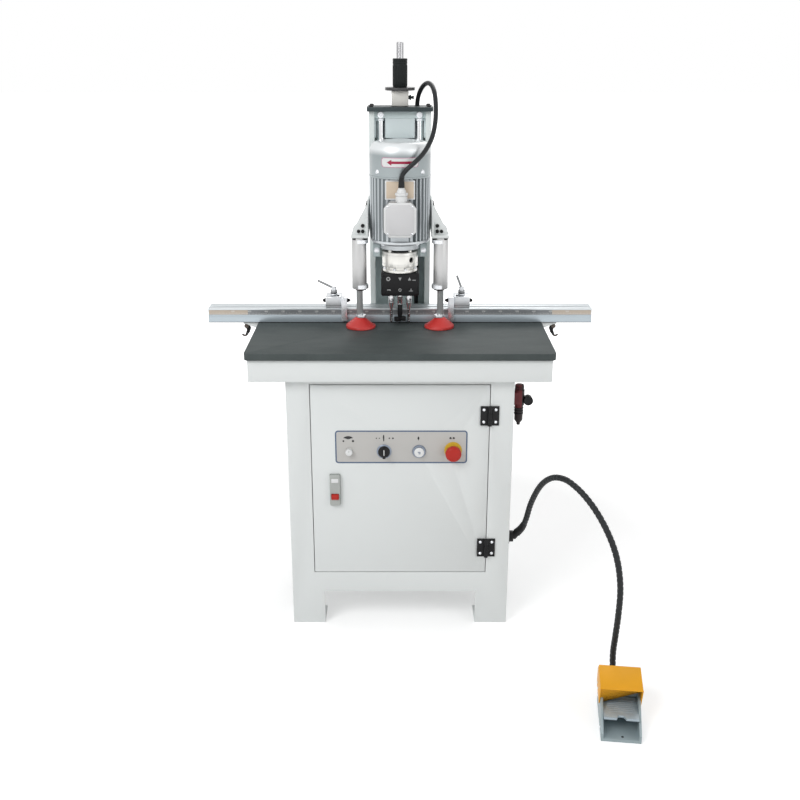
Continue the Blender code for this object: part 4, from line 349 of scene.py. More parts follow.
# Plastics, rubber, films and inks
PLASTIC = surface("black_moulding", (0.010, 0.010, 0.011), 0.42, mottle=0.2, clouds=40.0, grain=0.2, shine=0.25)
AIR_BODY = surface("dark_air_body", (0.016, 0.009, 0.010), 0.38, mottle=0.3, clouds=50.0, grain=0.2, shine=0.3,
                   change=air_change)
RUBBER = surface("black_sheath", (0.012, 0.014, 0.016), 0.40, mottle=0.25, clouds=60.0, grain=0.3, grit=900.0,
                 shine=0.3)
SLEEVE = surface("sleeve_grip", (0.010, 0.013, 0.013), 0.55, mottle=0.3, clouds=90.0, grain=0.35, shine=0.2)
CREAM = surface("cream_block", (0.74, 0.73, 0.69), 0.42, mottle=0.04, clouds=30.0, grain=0.1,
                change=past(2, 0.6645, (0.03, 0.03, 0.032)))
CREAM_SIDE = surface("cream_side", (0.74, 0.73, 0.69), 0.42, grain=0.12)
RED = surface("red_rubber", (0.62, 0.040, 0.035), 0.36, mottle=0.12, clouds=25.0, grain=0.3)
RED_GLOSS = surface("red_button", (0.47, 0.022, 0.014), 0.40, mottle=0.06, clouds=60.0, grain=0.15, shine=0.3)
PINK = surface("pink_outline", (0.62, 0.22, 0.36), 0.45)
MAROON = surface("maroon_arrow", (0.34, 0.01, 0.05), 0.45)
WHITE_GLOSS = surface("white_moulding", (0.80, 0.81, 0.81), 0.33, mottle=0.03, clouds=60.0, grain=0.08, coat=0.1)
GREY_PLASTIC = surface("grey_moulding", (0.44, 0.46, 0.44), 0.45, clouds=60.0, grain=0.2)
RIM_GREY = surface("latch_rim_grey", (0.24, 0.27, 0.25), 0.5)
BOARD = surface("board_plate", (0.55, 0.53, 0.47), 0.50, mottle=0.06, change=board_change)
YELLOW_DISC = surface("yellow_disc", (0.62, 0.40, 0.035), 0.45, clouds=60.0, shine=0.3)
PANEL = surface("panel_film", (0.55, 0.54, 0.52), 0.50, mottle=0.03, clouds=10.0, grain=0.15)
PANEL_BLUE = surface("panel_outline", (0.085, 0.13, 0.22), 0.45, mottle=0.10, clouds=30.0)
INK = surface("printed_ink", (0.02, 0.02, 0.022), 0.55, mottle=0.1)
GREY_INK = surface("pale_ink", (0.42, 0.43, 0.43), 0.55, mottle=0.1)
RULER_WHITE = surface("ruler_white", (0.75, 0.75, 0.74), 0.5)
GAUGE_FACE = surface("gauge_face", (0.10, 0.11, 0.11), 0.4, mottle=0.1)
# Painted shade: a near-black finish put in gaps, seams and holes where shade falls
DARK_GAP = surface("shadow_gap", (0.012, 0.012, 0.013), 0.8, mottle=0.2)


def geometry_group(name, smooth_angle=None):
    """A modifier group that welds a mesh, or shades it smooth up to an angle."""
    group = bpy.data.node_groups.new(name, "GeometryNodeTree")
    for way in ("INPUT", "OUTPUT"):
        group.interface.new_socket("Geometry", in_out=way, socket_type="NodeSocketGeometry")
    mesh = group.nodes.new("NodeGroupInput").outputs[0]
    if smooth_angle is None:
        bare = add(group, "GeometryNodeRemoveAttribute", Geometry=mesh, Name="custom_normal").outputs[0]
        last = add(group, "GeometryNodeMergeByDistance", Geometry=bare, Distance=0.00002)
    else:
        faces = add(group, "GeometryNodeSetShadeSmooth", Geometry=mesh).outputs[0]
        angle = group.nodes.new("GeometryNodeInputMeshEdgeAngle").outputs["Unsigned Angle"]
        sharp = add(group, "FunctionNodeCompare", A=angle, B=smooth_angle)
        sharp.operation = "GREATER_THAN"
        last = add(group, "GeometryNodeSetShadeSmooth", Geometry=faces, Selection=sharp.outputs[0],
                   Shade_Smooth=False)
        last.domain = "EDGE"
    group.links.new(last.outputs[0], group.nodes.new("NodeGroupOutput").inputs[0])
    return group


WELD = geometry_group("weld_mesh")
SHADE = geometry_group("shade_by_angle", math.radians(48.0))


def dress(piece, edge=0.0, weld=False):
    """Small rounded edges and smooth shading."""
    if weld:
        piece.modifiers.new("Weld", "NODES").node_group = WELD
        flat = piece.modifiers.new("Flat", "DECIMATE")
        flat.decimate_type = "DISSOLVE"
        flat.angle_limit = math.radians(1.0)
    if edge:
        bevel = piece.modifiers.new("Edges", "BEVEL")
        bevel.width = edge
        bevel.segments = 2
        bevel.limit_method = "ANGLE"
        bevel.angle_limit = math.radians(38.0)
    piece.modifiers.new("Shade", "NODES").node_group = SHADE


def finish(material, edge, *names):
    """A finish and edge width for CAD nodes."""
    for name in names:
        for slot in NODES[name].material_slots:
            slot.material = material
        dress(NODES[name], edge, weld=True)


def both(name):
    return name + "_left", name + "_right"


finish(WHITE, 0.0012, "apron", "cabinet", "door", *both("clamp_bracket"), *both("rail_bracket"))
finish(COLUMN_PAINT, 0.001, "column")
finish(TEAL, 0.001, "carriage")
finish(LAMINATE, 0.0012, "work_table")
finish(DARK_PLATE, 0.001, "top_plate")
finish(CHROME, 0.0004, *both("guide_rod"))
finish(ROD, 0.0004, *both("clamp_rod"))
finish(LEVER, 0.0006, *both("stop_lever"))
finish(LIFT_STEEL, 0.0004, "lift_rod")
finish(STEEL, 0.0004, "motor_rotor", "centre_spindle")
finish(DRILL_STEEL, 0.0003, *both("side_spindle"))
finish(PALE_METAL, 0.001, *both("stop_plate"))
finish(RAIL, 0.0006, "fence_rail")
finish(ALUMINIUM, 0.001, *both("clamp_cylinder"))
finish(BLOCK, 0.0008, *both("stop_block"))
finish(CAST, 0.0008, "lift_cylinder", "end_bell")
finish(WARM_CAST, 0.0008, "terminal_box")
finish(FINS, 0.0, "motor_housing")
finish(COWL, 0.001, "fan_cowl")
finish(BEARING, 0.001, "spindle_housing")
finish(BLACK, 0.0006, "gear_head", "hinge_upper_door_leaf", "hinge_upper_frame_leaf",
       "hinge_lower_door_leaf", "hinge_lower_frame_leaf")
finish(PLASTIC, 0.0006, "selector_switch", "hose_gland")
finish(AIR_BODY, 0.0006, "air_unit")
finish(SLEEVE, 0.001, "stroke_sleeve")
finish(CREAM, 0.0008, "stroke_stop")
finish(RED, 0.0012, *both("clamp_foot"))
finish(RED_GLOSS, 0.001, "emergency_stop", "latch_button")
finish(WHITE_GLOSS, 0.0006, "delay_knob", "start_button", "terminal_gland")
finish(GREY_PLASTIC, 0.0008, "door_latch")
finish(BOARD, 0.0008, "control_board")
finish(PEDAL, 0.0012, "pedal_base")
finish(TREADLE, 0.0008, "pedal_plate")
finish(YELLOW, 0.0012, "pedal_hood")


# Mesh helpers: each adds to SHAPE, the mesh under construction, and make() turns it into a piece
SHAPE = bmesh.new()


def lathe(profile, at, axis=UP, steps=24):
    """A turned solid: radius and height pairs; a third value of True makes that ring a hexagon."""
    turn = Vector(axis).to_track_quat("Z", "Y").to_matrix()
    rings = []
    for radius, height, *hexagon in profile:
        ring = []
        for step in range(steps if radius else 1):
            angle = 2 * math.pi * step / steps
            reach = radius
            if hexagon:
                reach = radius / math.cos((angle % (math.pi / 3)) - math.pi / 6)
            spoke = Vector((reach * math.cos(angle), reach * math.sin(angle), height))
            ring.append(SHAPE.verts.new(Vector(at) + turn @ spoke))
        rings.append(ring)
    for low, high in zip(rings, rings[1:]):
        for step in range(max(len(low), len(high))):
            corners = [low[step % len(low)], low[(step + 1) % len(low)],
                       high[(step + 1) % len(high)], high[step % len(high)]]
            corners = [corner for index, corner in enumerate(corners) if corner not in corners[:index]]
            if len(corners) > 2:
                SHAPE.faces.new(corners)
    for ring in (rings[0], rings[-1]):
        if len(ring) > 2:
            SHAPE.faces.new(ring)


def disc(radius, low, high):
    return [(0, low), (radius, low), (radius, high), (0, high)]


def pipe(inner, outer, height):
    return [(inner, 0), (outer, 0), (outer, height), (inner, height)]


def band(inner, outer, height, lip, at, steps=24):
    """A raised ring with sloped edges."""
    lathe([(inner, -lip), (outer, 0), (outer, height), (inner, height + lip)], at, UP, steps)


def nut(bore, radius, height, at, axis=UP, steps=24):
    """A hexagon, with a round hole or none."""
    lathe([(bore, 0), (radius, 0, True), (radius, height, True), (bore, height)], at, axis, steps)


def block(low, high):
    """A box between two corners."""
    made = bmesh.ops.create_cube(SHAPE, size=1.0)["verts"]
    bmesh.ops.scale(SHAPE, vec=[top - base for base, top in zip(low, high)], verts=made)
    bmesh.ops.translate(SHAPE, vec=[(top + base) / 2 for base, top in zip(low, high)], verts=made)


def layer(outline, at, across, up, depth):
    out = across.cross(up)
    return [SHAPE.verts.new(Vector(at) + across * u + up * v + out * depth) for u, v in outline]


def skin(rows):
    """Faces between closed rows of as many corners."""
    for row, following in rows:
        for index in range(len(row)):
            after = (index + 1) % len(row)
            SHAPE.faces.new((row[index], row[after], following[after], following[index]))


def slab(outline, at, thickness, across=RIGHT, up=UP):
    """A flat outline, in metres across and up, with thickness towards across x up."""
    across, up = Vector(across), Vector(up)
    rear, front = (layer(outline, at, across, up, depth) for depth in (0, thickness))
    SHAPE.faces.new(rear[::-1])
    SHAPE.faces.new(front)
    skin([(rear, front)])


def frame_slab(outer, inner, at, thickness, across=RIGHT, up=UP):
    """A flat frame between two outlines of as many points."""
    across, up = Vector(across), Vector(up)
    rows = [layer(outline, at, across, up, depth)
            for outline, depth in ((outer, 0), (outer, thickness), (inner, thickness), (inner, 0))]
    skin(zip(rows, rows[1:] + rows[:1]))


def rounded(width, height, radius, steps=6):
    """A rectangle outline with round corners."""
    points = []
    for sign_u, sign_v, start in ((1, 1, 0), (-1, 1, 90), (-1, -1, 180), (1, -1, 270)):
        for step in range(steps + 1):
            angle = math.radians(start + 90 * step / steps)
            points.append((sign_u * (width / 2 - radius) + radius * math.cos(angle),
                           sign_v * (height / 2 - radius) + radius * math.sin(angle)))
    return points


def square(size, radius, steps=6):
    return rounded(size, size, radius, steps)


def sweep(path, radius, sides=12):
    """A round bar along a path; radius may be a function of the point's number and the angle."""
    rings = []
    side = Vector((0, 0, 1))
    for index, point in enumerate(path):
        ahead = (path[min(index + 1, len(path) - 1)] - path[max(index - 1, 0)]).normalized()
        side = side - ahead * side.dot(ahead)
        if side.length < 0.001:
            side = ahead.orthogonal()
        side.normalize()
        other = ahead.cross(side)
        ring = []
        for step in range(sides):
            angle = 2 * math.pi * step / sides
            reach = radius(index, angle) if callable(radius) else radius
            ring.append(SHAPE.verts.new(point + (side * math.cos(angle) + other * math.sin(angle)) * reach))
        rings.append(ring)
    skin(zip(rings, rings[1:]))
    SHAPE.faces.new(rings[0][::-1])
    SHAPE.faces.new(rings[-1])


def route(points, step):
    """Points at even steps along a smooth curve through the given ones."""
    points = [Vector(point) for point in points]
    ends = [2 * points[0] - points[1]] + points + [2 * points[-1] - points[-2]]
    fine = []
    for before, start, end, after in zip(ends, ends[1:], ends[2:], ends[3:]):
        count = max(2, math.ceil((end - start).length / step))
        for index in range(count):
            share = index / count
            fine.append(0.5 * (2 * start + (end - before) * share
                               + (2 * before - 5 * start + 4 * end - after) * share ** 2
                               + (3 * start - before - 3 * end + after) * share ** 3))
    return fine + [points[-1]]


def polar(radius, degrees, height=0.0):
    """A point at a radius and angle about the vertical axis."""
    angle = math.radians(degrees)
    return Vector((radius * math.cos(angle), radius * math.sin(angle), height))


def socket_screw(at, axis, radius, height):
    """A cap screw with a hexagon socket."""
    rim = radius * 0.12
    lathe([(0, height * 0.45), (radius * 0.48, height * 0.45, True), (radius * 0.48, height, True),
           (radius - rim, height), (radius, height - rim), (radius, 0), (0, 0)], at, axis)


def hex_bolt(at, axis, radius, height):
    """A hexagon head on a washer."""
    washer = height * 0.2
    lathe([(0, height), (radius * 0.75, height), (radius * 0.86, height * 0.9, True),
           (radius * 0.86, washer, True), (radius * 1.25, washer), (radius * 1.25, 0), (0, 0)], at, axis)


def dome_screw(at, axis, radius):
    """A low round head with a dimple."""
    lathe([(0, radius * 0.32), (radius * 0.3, radius * 0.36), (radius * 0.36, radius * 0.5),
           (radius * 0.75, radius * 0.38), (radius, 0), (0, 0)], at, axis)


def port(at, axis, stem, grip, grip_top, neck, length):
    """A pipe fitting: a round foot, a hexagon and a neck."""
    lathe([(0, 0), (stem, 0), (stem, 0.003), (grip, 0.0032, True), (grip, grip_top, True),
           (neck, grip_top + 0.0004), (neck, length), (0, length + 0.0004)], at, axis)


def set_screw(at, turn, radius, height, bore):
    """A small sunk screw that looks away from the vertical axis."""
    lathe([(0, 0), (radius, 0), (radius, height), (bore, height), (0.0012, 0.0002), (0, 0.0002)], at,
          polar(1, turn), 12)


def bar(start, reach, radius, sides=6):
    """A straight round bar."""
    sweep([start, start + Vector(reach)], radius, sides)


def take_mesh(name):
    """The mesh under construction, which then starts anew."""
    mesh = bpy.data.meshes.new(name)
    SHAPE.to_mesh(mesh)
    SHAPE.clear()
    return mesh


def link(name, data):
    made = bpy.data.objects.new(name, data)
    SCENE.collection.objects.link(made)
    return made


def make(name, material, body="machine", edge=0.0):
    """A finished piece that rides on a CAD body, or on none."""
    bmesh.ops.recalc_face_normals(SHAPE, faces=SHAPE.faces)
    piece = link(name, take_mesh(name))
    piece.data.materials.append(material)
    dress(piece, edge)
    if body:
        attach(piece, body)
    return piece


def middle_of(name):
    low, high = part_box(name)
    return Vector([(base + top) / 2 for base, top in zip(low, high)])


def pedal_point(across, along, up):
    return PEDAL_PLACE + PEDAL_TURN @ Vector((across, along, up))


# Camera, lights and floor

def direct_rays(tree):
    """1 where the background itself is seen: by the camera, in a reflection or through glass."""
    rays = tree.nodes.new("ShaderNodeLightPath").outputs
    seen = maths(tree, "MAXIMUM", rays["Is Camera Ray"], rays["Is Glossy Ray"])
    return maths(tree, "MAXIMUM", seen, rays["Is Transmission Ray"])


def floor_material():
    """Pale floor that keeps the machine's shadow near it and turns to the white background far off."""
    material = surface("studio_floor", (0.90, 0.90, 0.90), 0.85, mottle=0.005, clouds=2.0)
    tree = material.node_tree
    far = add(tree, "ShaderNodeMapRange", Value=reach_of(tree), From_Min=0.9, From_Max=2.2, To_Min=0.34,
              To_Max=1.0).outputs[0]
    shader = tree.nodes["Principled BSDF"]
    shader.inputs["Emission Color"].default_value = (1, 1, 1, 1)
    tree.links.new(maths(tree, "MULTIPLY", far, direct_rays(tree)), shader.inputs["Emission Strength"])
    return material


def build_stage():
    camera = link("camera", bpy.data.cameras.new("camera"))
    camera.location = CAMERA_PLACE
    camera.rotation_euler = (math.radians(90.0) - CAMERA_PITCH, 0, 0)
    camera.data.lens = CAMERA_LENS
    camera.data.sensor_width = 36.0
    camera.data.clip_end = 100.0
    SCENE.camera = camera
    SCENE.view_settings.view_transform = "Standard"

    for name, place, size, power in LAMPS:
        light = link(name, bpy.data.lights.new(name, "AREA"))
        light.data.size = size
        light.data.energy = power
        light.location = place
        light.rotation_euler = (Vector((0, 0, -0.1)) - Vector(place)).to_track_quat("-Z", "Y").to_euler()

    world = bpy.data.worlds.new("studio")
    SCENE.world = world
    world.use_nodes = True
    tree = world.node_tree
    tree.nodes.clear()
    white = add(tree, "ShaderNodeBackground", Color=(1, 1, 1), Strength=spread(tree, direct_rays(tree), 0.46, 1.0))
    tree.links.new(white.outputs[0], tree.nodes.new("ShaderNodeOutputWorld").inputs[0])

    SHAPE.faces.new([SHAPE.verts.new((x * FLOOR_REACH, y * FLOOR_REACH, FLOOR - 0.0002))
                     for x, y in ((-1, -1), (1, -1), (1, 1), (-1, 1))])
    floor = link("floor", take_mesh("floor"))
    floor.data.materials.append(floor_material())


# Cords

def relief(name, path, length, start, end, body):
    """A ribbed sleeve that tapers along the start of a cord's path."""
    run, kept = 0.0, [path[0]]
    for here, there in zip(path, path[1:]):
        run += (there - here).length
        if run > length:
            break
        kept.append(there)

    def taper(index, angle):
        return start + (end - start) * index / (len(kept) - 1) - (RELIEF_GROOVE if index % 2 else 0)

    sweep(kept, taper, 20)
    return make(name, PLASTIC, body)


def build_cords():
    """The spiral-wrapped foot hose and the motor cable, along their CAD routes."""
    end = [pedal_point(0, PEDAL_LENGTH + FIT + before, HOSE_RADIUS + FIT) for before in (HOSE_LEAD, HOSE_LEAD / 2, 0)]
    path = [Vector((point.x, point.y, max(point.z, FLOOR + HOSE_RADIUS + 0.0001)))
            for point in route([HOSE_START, *HOSE_ROUTE, *end], HOSE_STEP)]
    along = [0.0]
    for here, there in zip(path, path[1:]):
        along.append(along[-1] + (there - here).length)

    def wrapped(index, angle):
        share = (along[index] / WRAP_PITCH + angle / (2 * math.pi)) % 1.0
        return HOSE_RADIUS - (0 if share < WRAP_BAND else WRAP_DEPTH)

    sweep(path, wrapped, 20)
    hose = make("foot_hose_wrapped", RUBBER)
    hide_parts("foot_hose")
    gland_relief = relief("hose_relief_gland", path, 0.044, 0.0125, 0.0096, "machine")
    sleeve = [pedal_point(0, PEDAL_LENGTH + 0.0005 + away, 0.0004 + radius)
              for away, radius in ((0, 0.0122), (0.036, 0.0096))]
    pedal_relief = relief("hose_relief_pedal", route(sleeve, HOSE_STEP), 0.04, 0.0122, 0.0096, "machine")

    gland = middle_of("terminal_gland")
    gland.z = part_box("terminal_gland")[1][2] + FIT
    lead = Vector((0, 0, CABLE_LEAD))
    points = [*CABLE_ROUTE, gland + lead, gland + lead / 2, gland]
    path = route(points, CABLE_STEP)
    sweep(path, CABLE_RADIUS, 16)
    cable = make("motor_cable_bent", RUBBER, None)
    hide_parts("motor_cable")
    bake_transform(cable)
    fine = route(points, 0.002)
    relief("cable_relief_exit", fine, 0.03, 0.0098, 0.0072, "machine")
    relief("cable_relief_gland", fine[::-1], 0.03, 0.0094, 0.0072, "head")


# Motor, cowl and terminal box

def wrap_strip(radius, centre_z, columns, thickness):
    """A strip wrapped on the cowl, facing the front; each column is a place across, a low and a high."""
    rows = []
    for across, low, high in columns:
        angle = across / radius
        rows.append([SHAPE.verts.new((reach * math.sin(angle), -reach * math.cos(angle), centre_z + height))
                     for reach, height in product((radius, radius + thickness), (low, high))])
    for here, there in zip(rows, rows[1:]):
        for first, second in ((0, 1), (1, 3), (3, 2), (2, 0)):
            SHAPE.faces.new((here[first], here[second], there[second], there[first]))
    for row in (rows[0], rows[-1]):
        SHAPE.faces.new((row[0], row[1], row[3], row[2]))


def plate_columns(width, height, corner, count=28):
    """The columns of a plate with round corners."""
    columns = []
    for step in range(count + 1):
        across = width * (step / count - 0.5)
        past = max(0.0, abs(across) - (width / 2 - corner))
        reach = height / 2 - corner + math.sqrt(max(0.0, corner ** 2 - past ** 2))
        columns.append((across, -reach, reach))
    return columns


def build_cowl():
    low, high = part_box("fan_cowl")
    radius, base = high[0], low[2]
    arrow_z = base + 0.046
    wrap_strip(radius, arrow_z, plate_columns(0.108, 0.026, 0.006), 0.0006)
    make("arrow_plate_border", PINK, "head")
    wrap_strip(radius + 0.0005, arrow_z, plate_columns(0.1055, 0.0235, 0.0054), 0.0004)
    make("arrow_plate_face", WHITE_GLOSS, "head")
    wrap_strip(radius + 0.0008, arrow_z,
               [(-0.038 + 0.014 * step / 6, -0.0078 * step / 6, 0.0078 * step / 6) for step in range(7)], 0.0004)
    wrap_strip(radius + 0.0008, arrow_z,
               [(-0.024 + 0.062 * step / 12, -0.0034, 0.0034) for step in range(13)], 0.0004)
    make("arrow_plate_arrow", MAROON, "head")
    for turn in (-223, -137, -43, 43):
        dome_screw(polar(radius - 0.0004, turn, base + 0.018), polar(1, turn), 0.0068)
    make("cowl_screws", PALE_METAL, "head")
    lathe([(radius + 0.0001, 0), (radius + 0.0009, 0.0008), (radius + 0.0009, 0.0052),
           (radius - 0.0005, 0.006), (radius - 0.0015, 0)], (0, 0, base), steps=64)
    make("cowl_hem", COWL, "head")

    top, bottom = base - 0.003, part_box("terminal_box")[1][2] + 0.004
    centre_z, height = (top + bottom) / 2, top - bottom
    slab(rounded(0.084, height, 0.002), (0, MOTOR_FLAT - 0.0002, centre_z), 0.0008)
    make("nameplate_frame", WHITE_GLOSS, "head")
    slab(rounded(0.076, height - 0.007, 0.001), (0, MOTOR_FLAT - 0.0009, centre_z), 0.0004)
    make("nameplate_field", PLATE_BEIGE, "head")
    for across, up in product((-0.039, 0.039), (-height / 2 + 0.004, height / 2 - 0.004)):
        dome_screw((across, MOTOR_FLAT - 0.0009, centre_z + up), FRONT, 0.0018)
    make("nameplate_rivets", PALE_METAL, "head")


def build_terminal_box():
    low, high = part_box("terminal_box")
    middle = Vector((0, low[1], (low[2] + high[2]) / 2))
    half_x, half_z, corner = (high[0] - low[0]) / 2, (high[2] - low[2]) / 2, 0.015

    def octagon(grow):
        x, z, cut = half_x + grow, half_z + grow, corner + grow * 0.4
        return [(x - cut, -z), (x, cut - z), (x, z - cut), (x - cut, z), (cut - x, z), (-x, z - cut),
                (-x, cut - z), (cut - x, -z)]

    slab(octagon(0.0012), middle + Vector((0, 0.01, 0)), 0.0105)
    make("terminal_cover_rim", WHITE_GLOSS, "head", 0.0012)
    slab(octagon(-0.0045), middle + Vector((0, 0.0005, 0)), 0.0022)
    make("terminal_cover", WARM_CAST, "head", 0.001)
    # Painted shade: a near-black frame behind the cover rim darkens the seam
    frame_slab(octagon(0.0016), octagon(-0.002), middle + Vector((0, 0.0128, 0)), 0.0022)
    make("terminal_seam_shade", DARK_GAP, "head")
    for across, up in product((-1, 1), (-1, 1)):
        dome_screw(middle + Vector((across * (half_x - 0.0095), -0.0012, up * (half_z - 0.0095))), FRONT, 0.003)
    make("terminal_screws", PALE_METAL, "head")
    gland = middle_of("terminal_gland")
    gland.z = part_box("terminal_gland")[0][2]
    lathe([(0.0142, 0.0178, True), (0.0156, 0.019, True), (0.0156, 0.025, True), (0.0142, 0.0262, True),
           (0.012, 0.0262), (0.012, 0.0178)], gland, UP, 36)
    make("gland_nut", WHITE_GLOSS, "head", edge=0.0004)


def build_bell():
    # Painted shade: a near-black disc fills the gap between the motor housing and the end bell
    lathe(disc(0.036, 0, 0.0088), (0, 0, 0.2242), UP, 32)
    make("bell_gap_shade", DARK_GAP, "head")
    for sign in (-1, 1):
        hex_bolt((sign * 0.068, -0.01, 0.226), FRONT, 0.0062, 0.005)
        hex_bolt((sign * 0.048, -0.06, 0.256), FRONT, 0.005, 0.0045)
        lathe([(0, 0), (0.0085, 0), (0.0085, 0.02), (0.007, 0.022), (0, 0.022)], (sign * 0.048, -0.038, 0.256),
              FRONT, 16)
        socket_screw((sign * 0.058, 0.0865, 0.455), FRONT, 0.0055, 0.004)
    make("bell_bolts", PALE_METAL, "head", edge=0.0002)
    for turn in (20, 70, 110, 160, 200, 250, 290, 340):
        hex_bolt(polar(0.047, turn, 0.1733), UP, 0.004, 0.005)
    make("housing_bolts", PALE_METAL, "head")
    lathe([(0, 0), (0.0078, 0), (0.0078, 0.006), (0.0058, 0.0066), (0.005, 0.003), (0, 0.003)],
          polar(0.04, -50, 0.2027), polar(1, -50))
    make("housing_plug", BLACK, "head")
    for height in (0.1905, 0.2165):
        lathe([(0.0518, -0.0004), (0.0524, 0), (0.0518, 0.0004)], (0, 0, height), UP, 48)
    make("housing_lines", CAST, "head")


# Gear head, chucks and cutter

def build_gear_head():
    low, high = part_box("gear_head")
    face = low[1] - 0.0001
    for x, z in product((low[0] + 0.008, high[0] - 0.008), (low[2] + 0.008, high[2] - 0.008)):
        socket_screw((x, low[1] + 0.001, z), FRONT, 0.0032, 0.0022)
    make("gear_head_screws", BLACK, "head")
    width, depth = high[0] - low[0], high[1] - low[1]
    frame_slab(rounded(width + 0.0006, depth + 0.0006, 0.0045), rounded(width - 0.004, depth - 0.004, 0.003),
               (0, 0, low[2] + 0.012), 0.001, up=BACK)
    make("gear_head_seam", DARK_GAP, "head")
    frame_slab(square(0.012, 0.0059), square(0.006, 0.0029), (-0.034, face, 0.148), INK_DEPTH)
    frame_slab(square(0.009, 0.0044), square(0.0056, 0.0027), (0, face, 0.1155), INK_DEPTH)
    for x, z, outline in (
            (0, 0.148, [(0, -0.005), (0.0045, 0.004), (-0.0045, 0.004)]),
            (0.029, 0.148, [(-0.006, -0.004), (0.003, -0.004), (-0.0015, 0.005)]),
            (0.04, 0.148, [(-0.004, -0.0045), (0.006, -0.0045), (0.006, -0.0025), (-0.004, -0.0025)]),
            (-0.032, 0.1155, [(-0.006, -0.0012), (0.002, -0.0012), (0.002, -0.003), (0.006, 0), (0.002, 0.003),
                              (0.002, 0.0012), (-0.006, 0.0012)]),
            (0.032, 0.1155, [(-0.006, -0.004), (0.006, -0.004), (0.006, -0.0022), (0.001, -0.0022), (0.001, 0.004),
                             (-0.001, 0.004), (-0.001, -0.0022), (-0.006, -0.0022)])):
        slab(outline, (x, face, z), INK_DEPTH)
    make("gear_head_marks", GREY_INK, "head")

    for sign, side in SIDES:
        x, y = sign * SPINDLE_X, SPINDLE_Y
        body = "side_spindle_" + side
        band(0.0085, 0.0094, 0.005, 0.0006, (x, y, 0.09))
        band(0.0084, 0.0091, 0.002, 0.0004, (x, y, 0.0705))
        make("chuck_rings_" + side, CHROME, body)
        for turn in (-70, 50, 170):
            set_screw(Vector((x, y, 0.081)) + polar(0.008, turn), turn, 0.0026, 0.0012, 0.0014)
        make("chuck_screws_" + side, BLACK, body)
        for start in (0, 180):
            sweep([Vector((x, y, 0)) + polar(0.0036, start + 990 * step / 40, 0.0125 + 0.037 * step / 40)
                   for step in range(41)], 0.0009, 6)
        make("drill_lands_" + side, STEEL, body)

    band(0.009, 0.0102, 0.006, 0.0006, (0, 0, 0.0885))
    band(0.009, 0.0096, 0.0022, 0.0004, (0, 0, 0.064))
    make("centre_chuck_rings", CHROME, "spindle")
    for turn in (-90, 90):
        set_screw(polar(0.0084, turn, 0.076), turn, 0.003, 0.0014, 0.0015)
    make("centre_chuck_screws", BLACK, "spindle")

    lathe([(0, 0.086), (0.0049, 0.086), (0.0049, 0.0625), (0.0072, 0.062), (0.0072, 0.033), (0.0062, 0.03),
           (0.0062, 0.025), (0.003, 0.013), (0.001, 0.0098), (0, 0.0082)], (0, 0, 0))
    wing = [polar(reach, start + turn).xy for start in (0, 180) for reach, turn in (
        *((0.0174, turn) for turn in (-18, -8, 2, 12, 24, 36, 50, 66)), (0.0062, 100), (0.0062, 150))]
    slab(wing, (0, 0, 0.013), 0.011, up=BACK)
    cutter = make("hinge_cutter", BLACK, "spindle", edge=0.0004)
    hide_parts("hinge_bit")
    block((-0.0172, 0, 0.0112), (-0.007, 0.0022, 0.015))
    block((0.007, -0.0022, 0.0112), (0.0172, 0, 0.015))
    make("cutter_tips", CHROME, "spindle", 0.0002)


# Column, lift and clamps

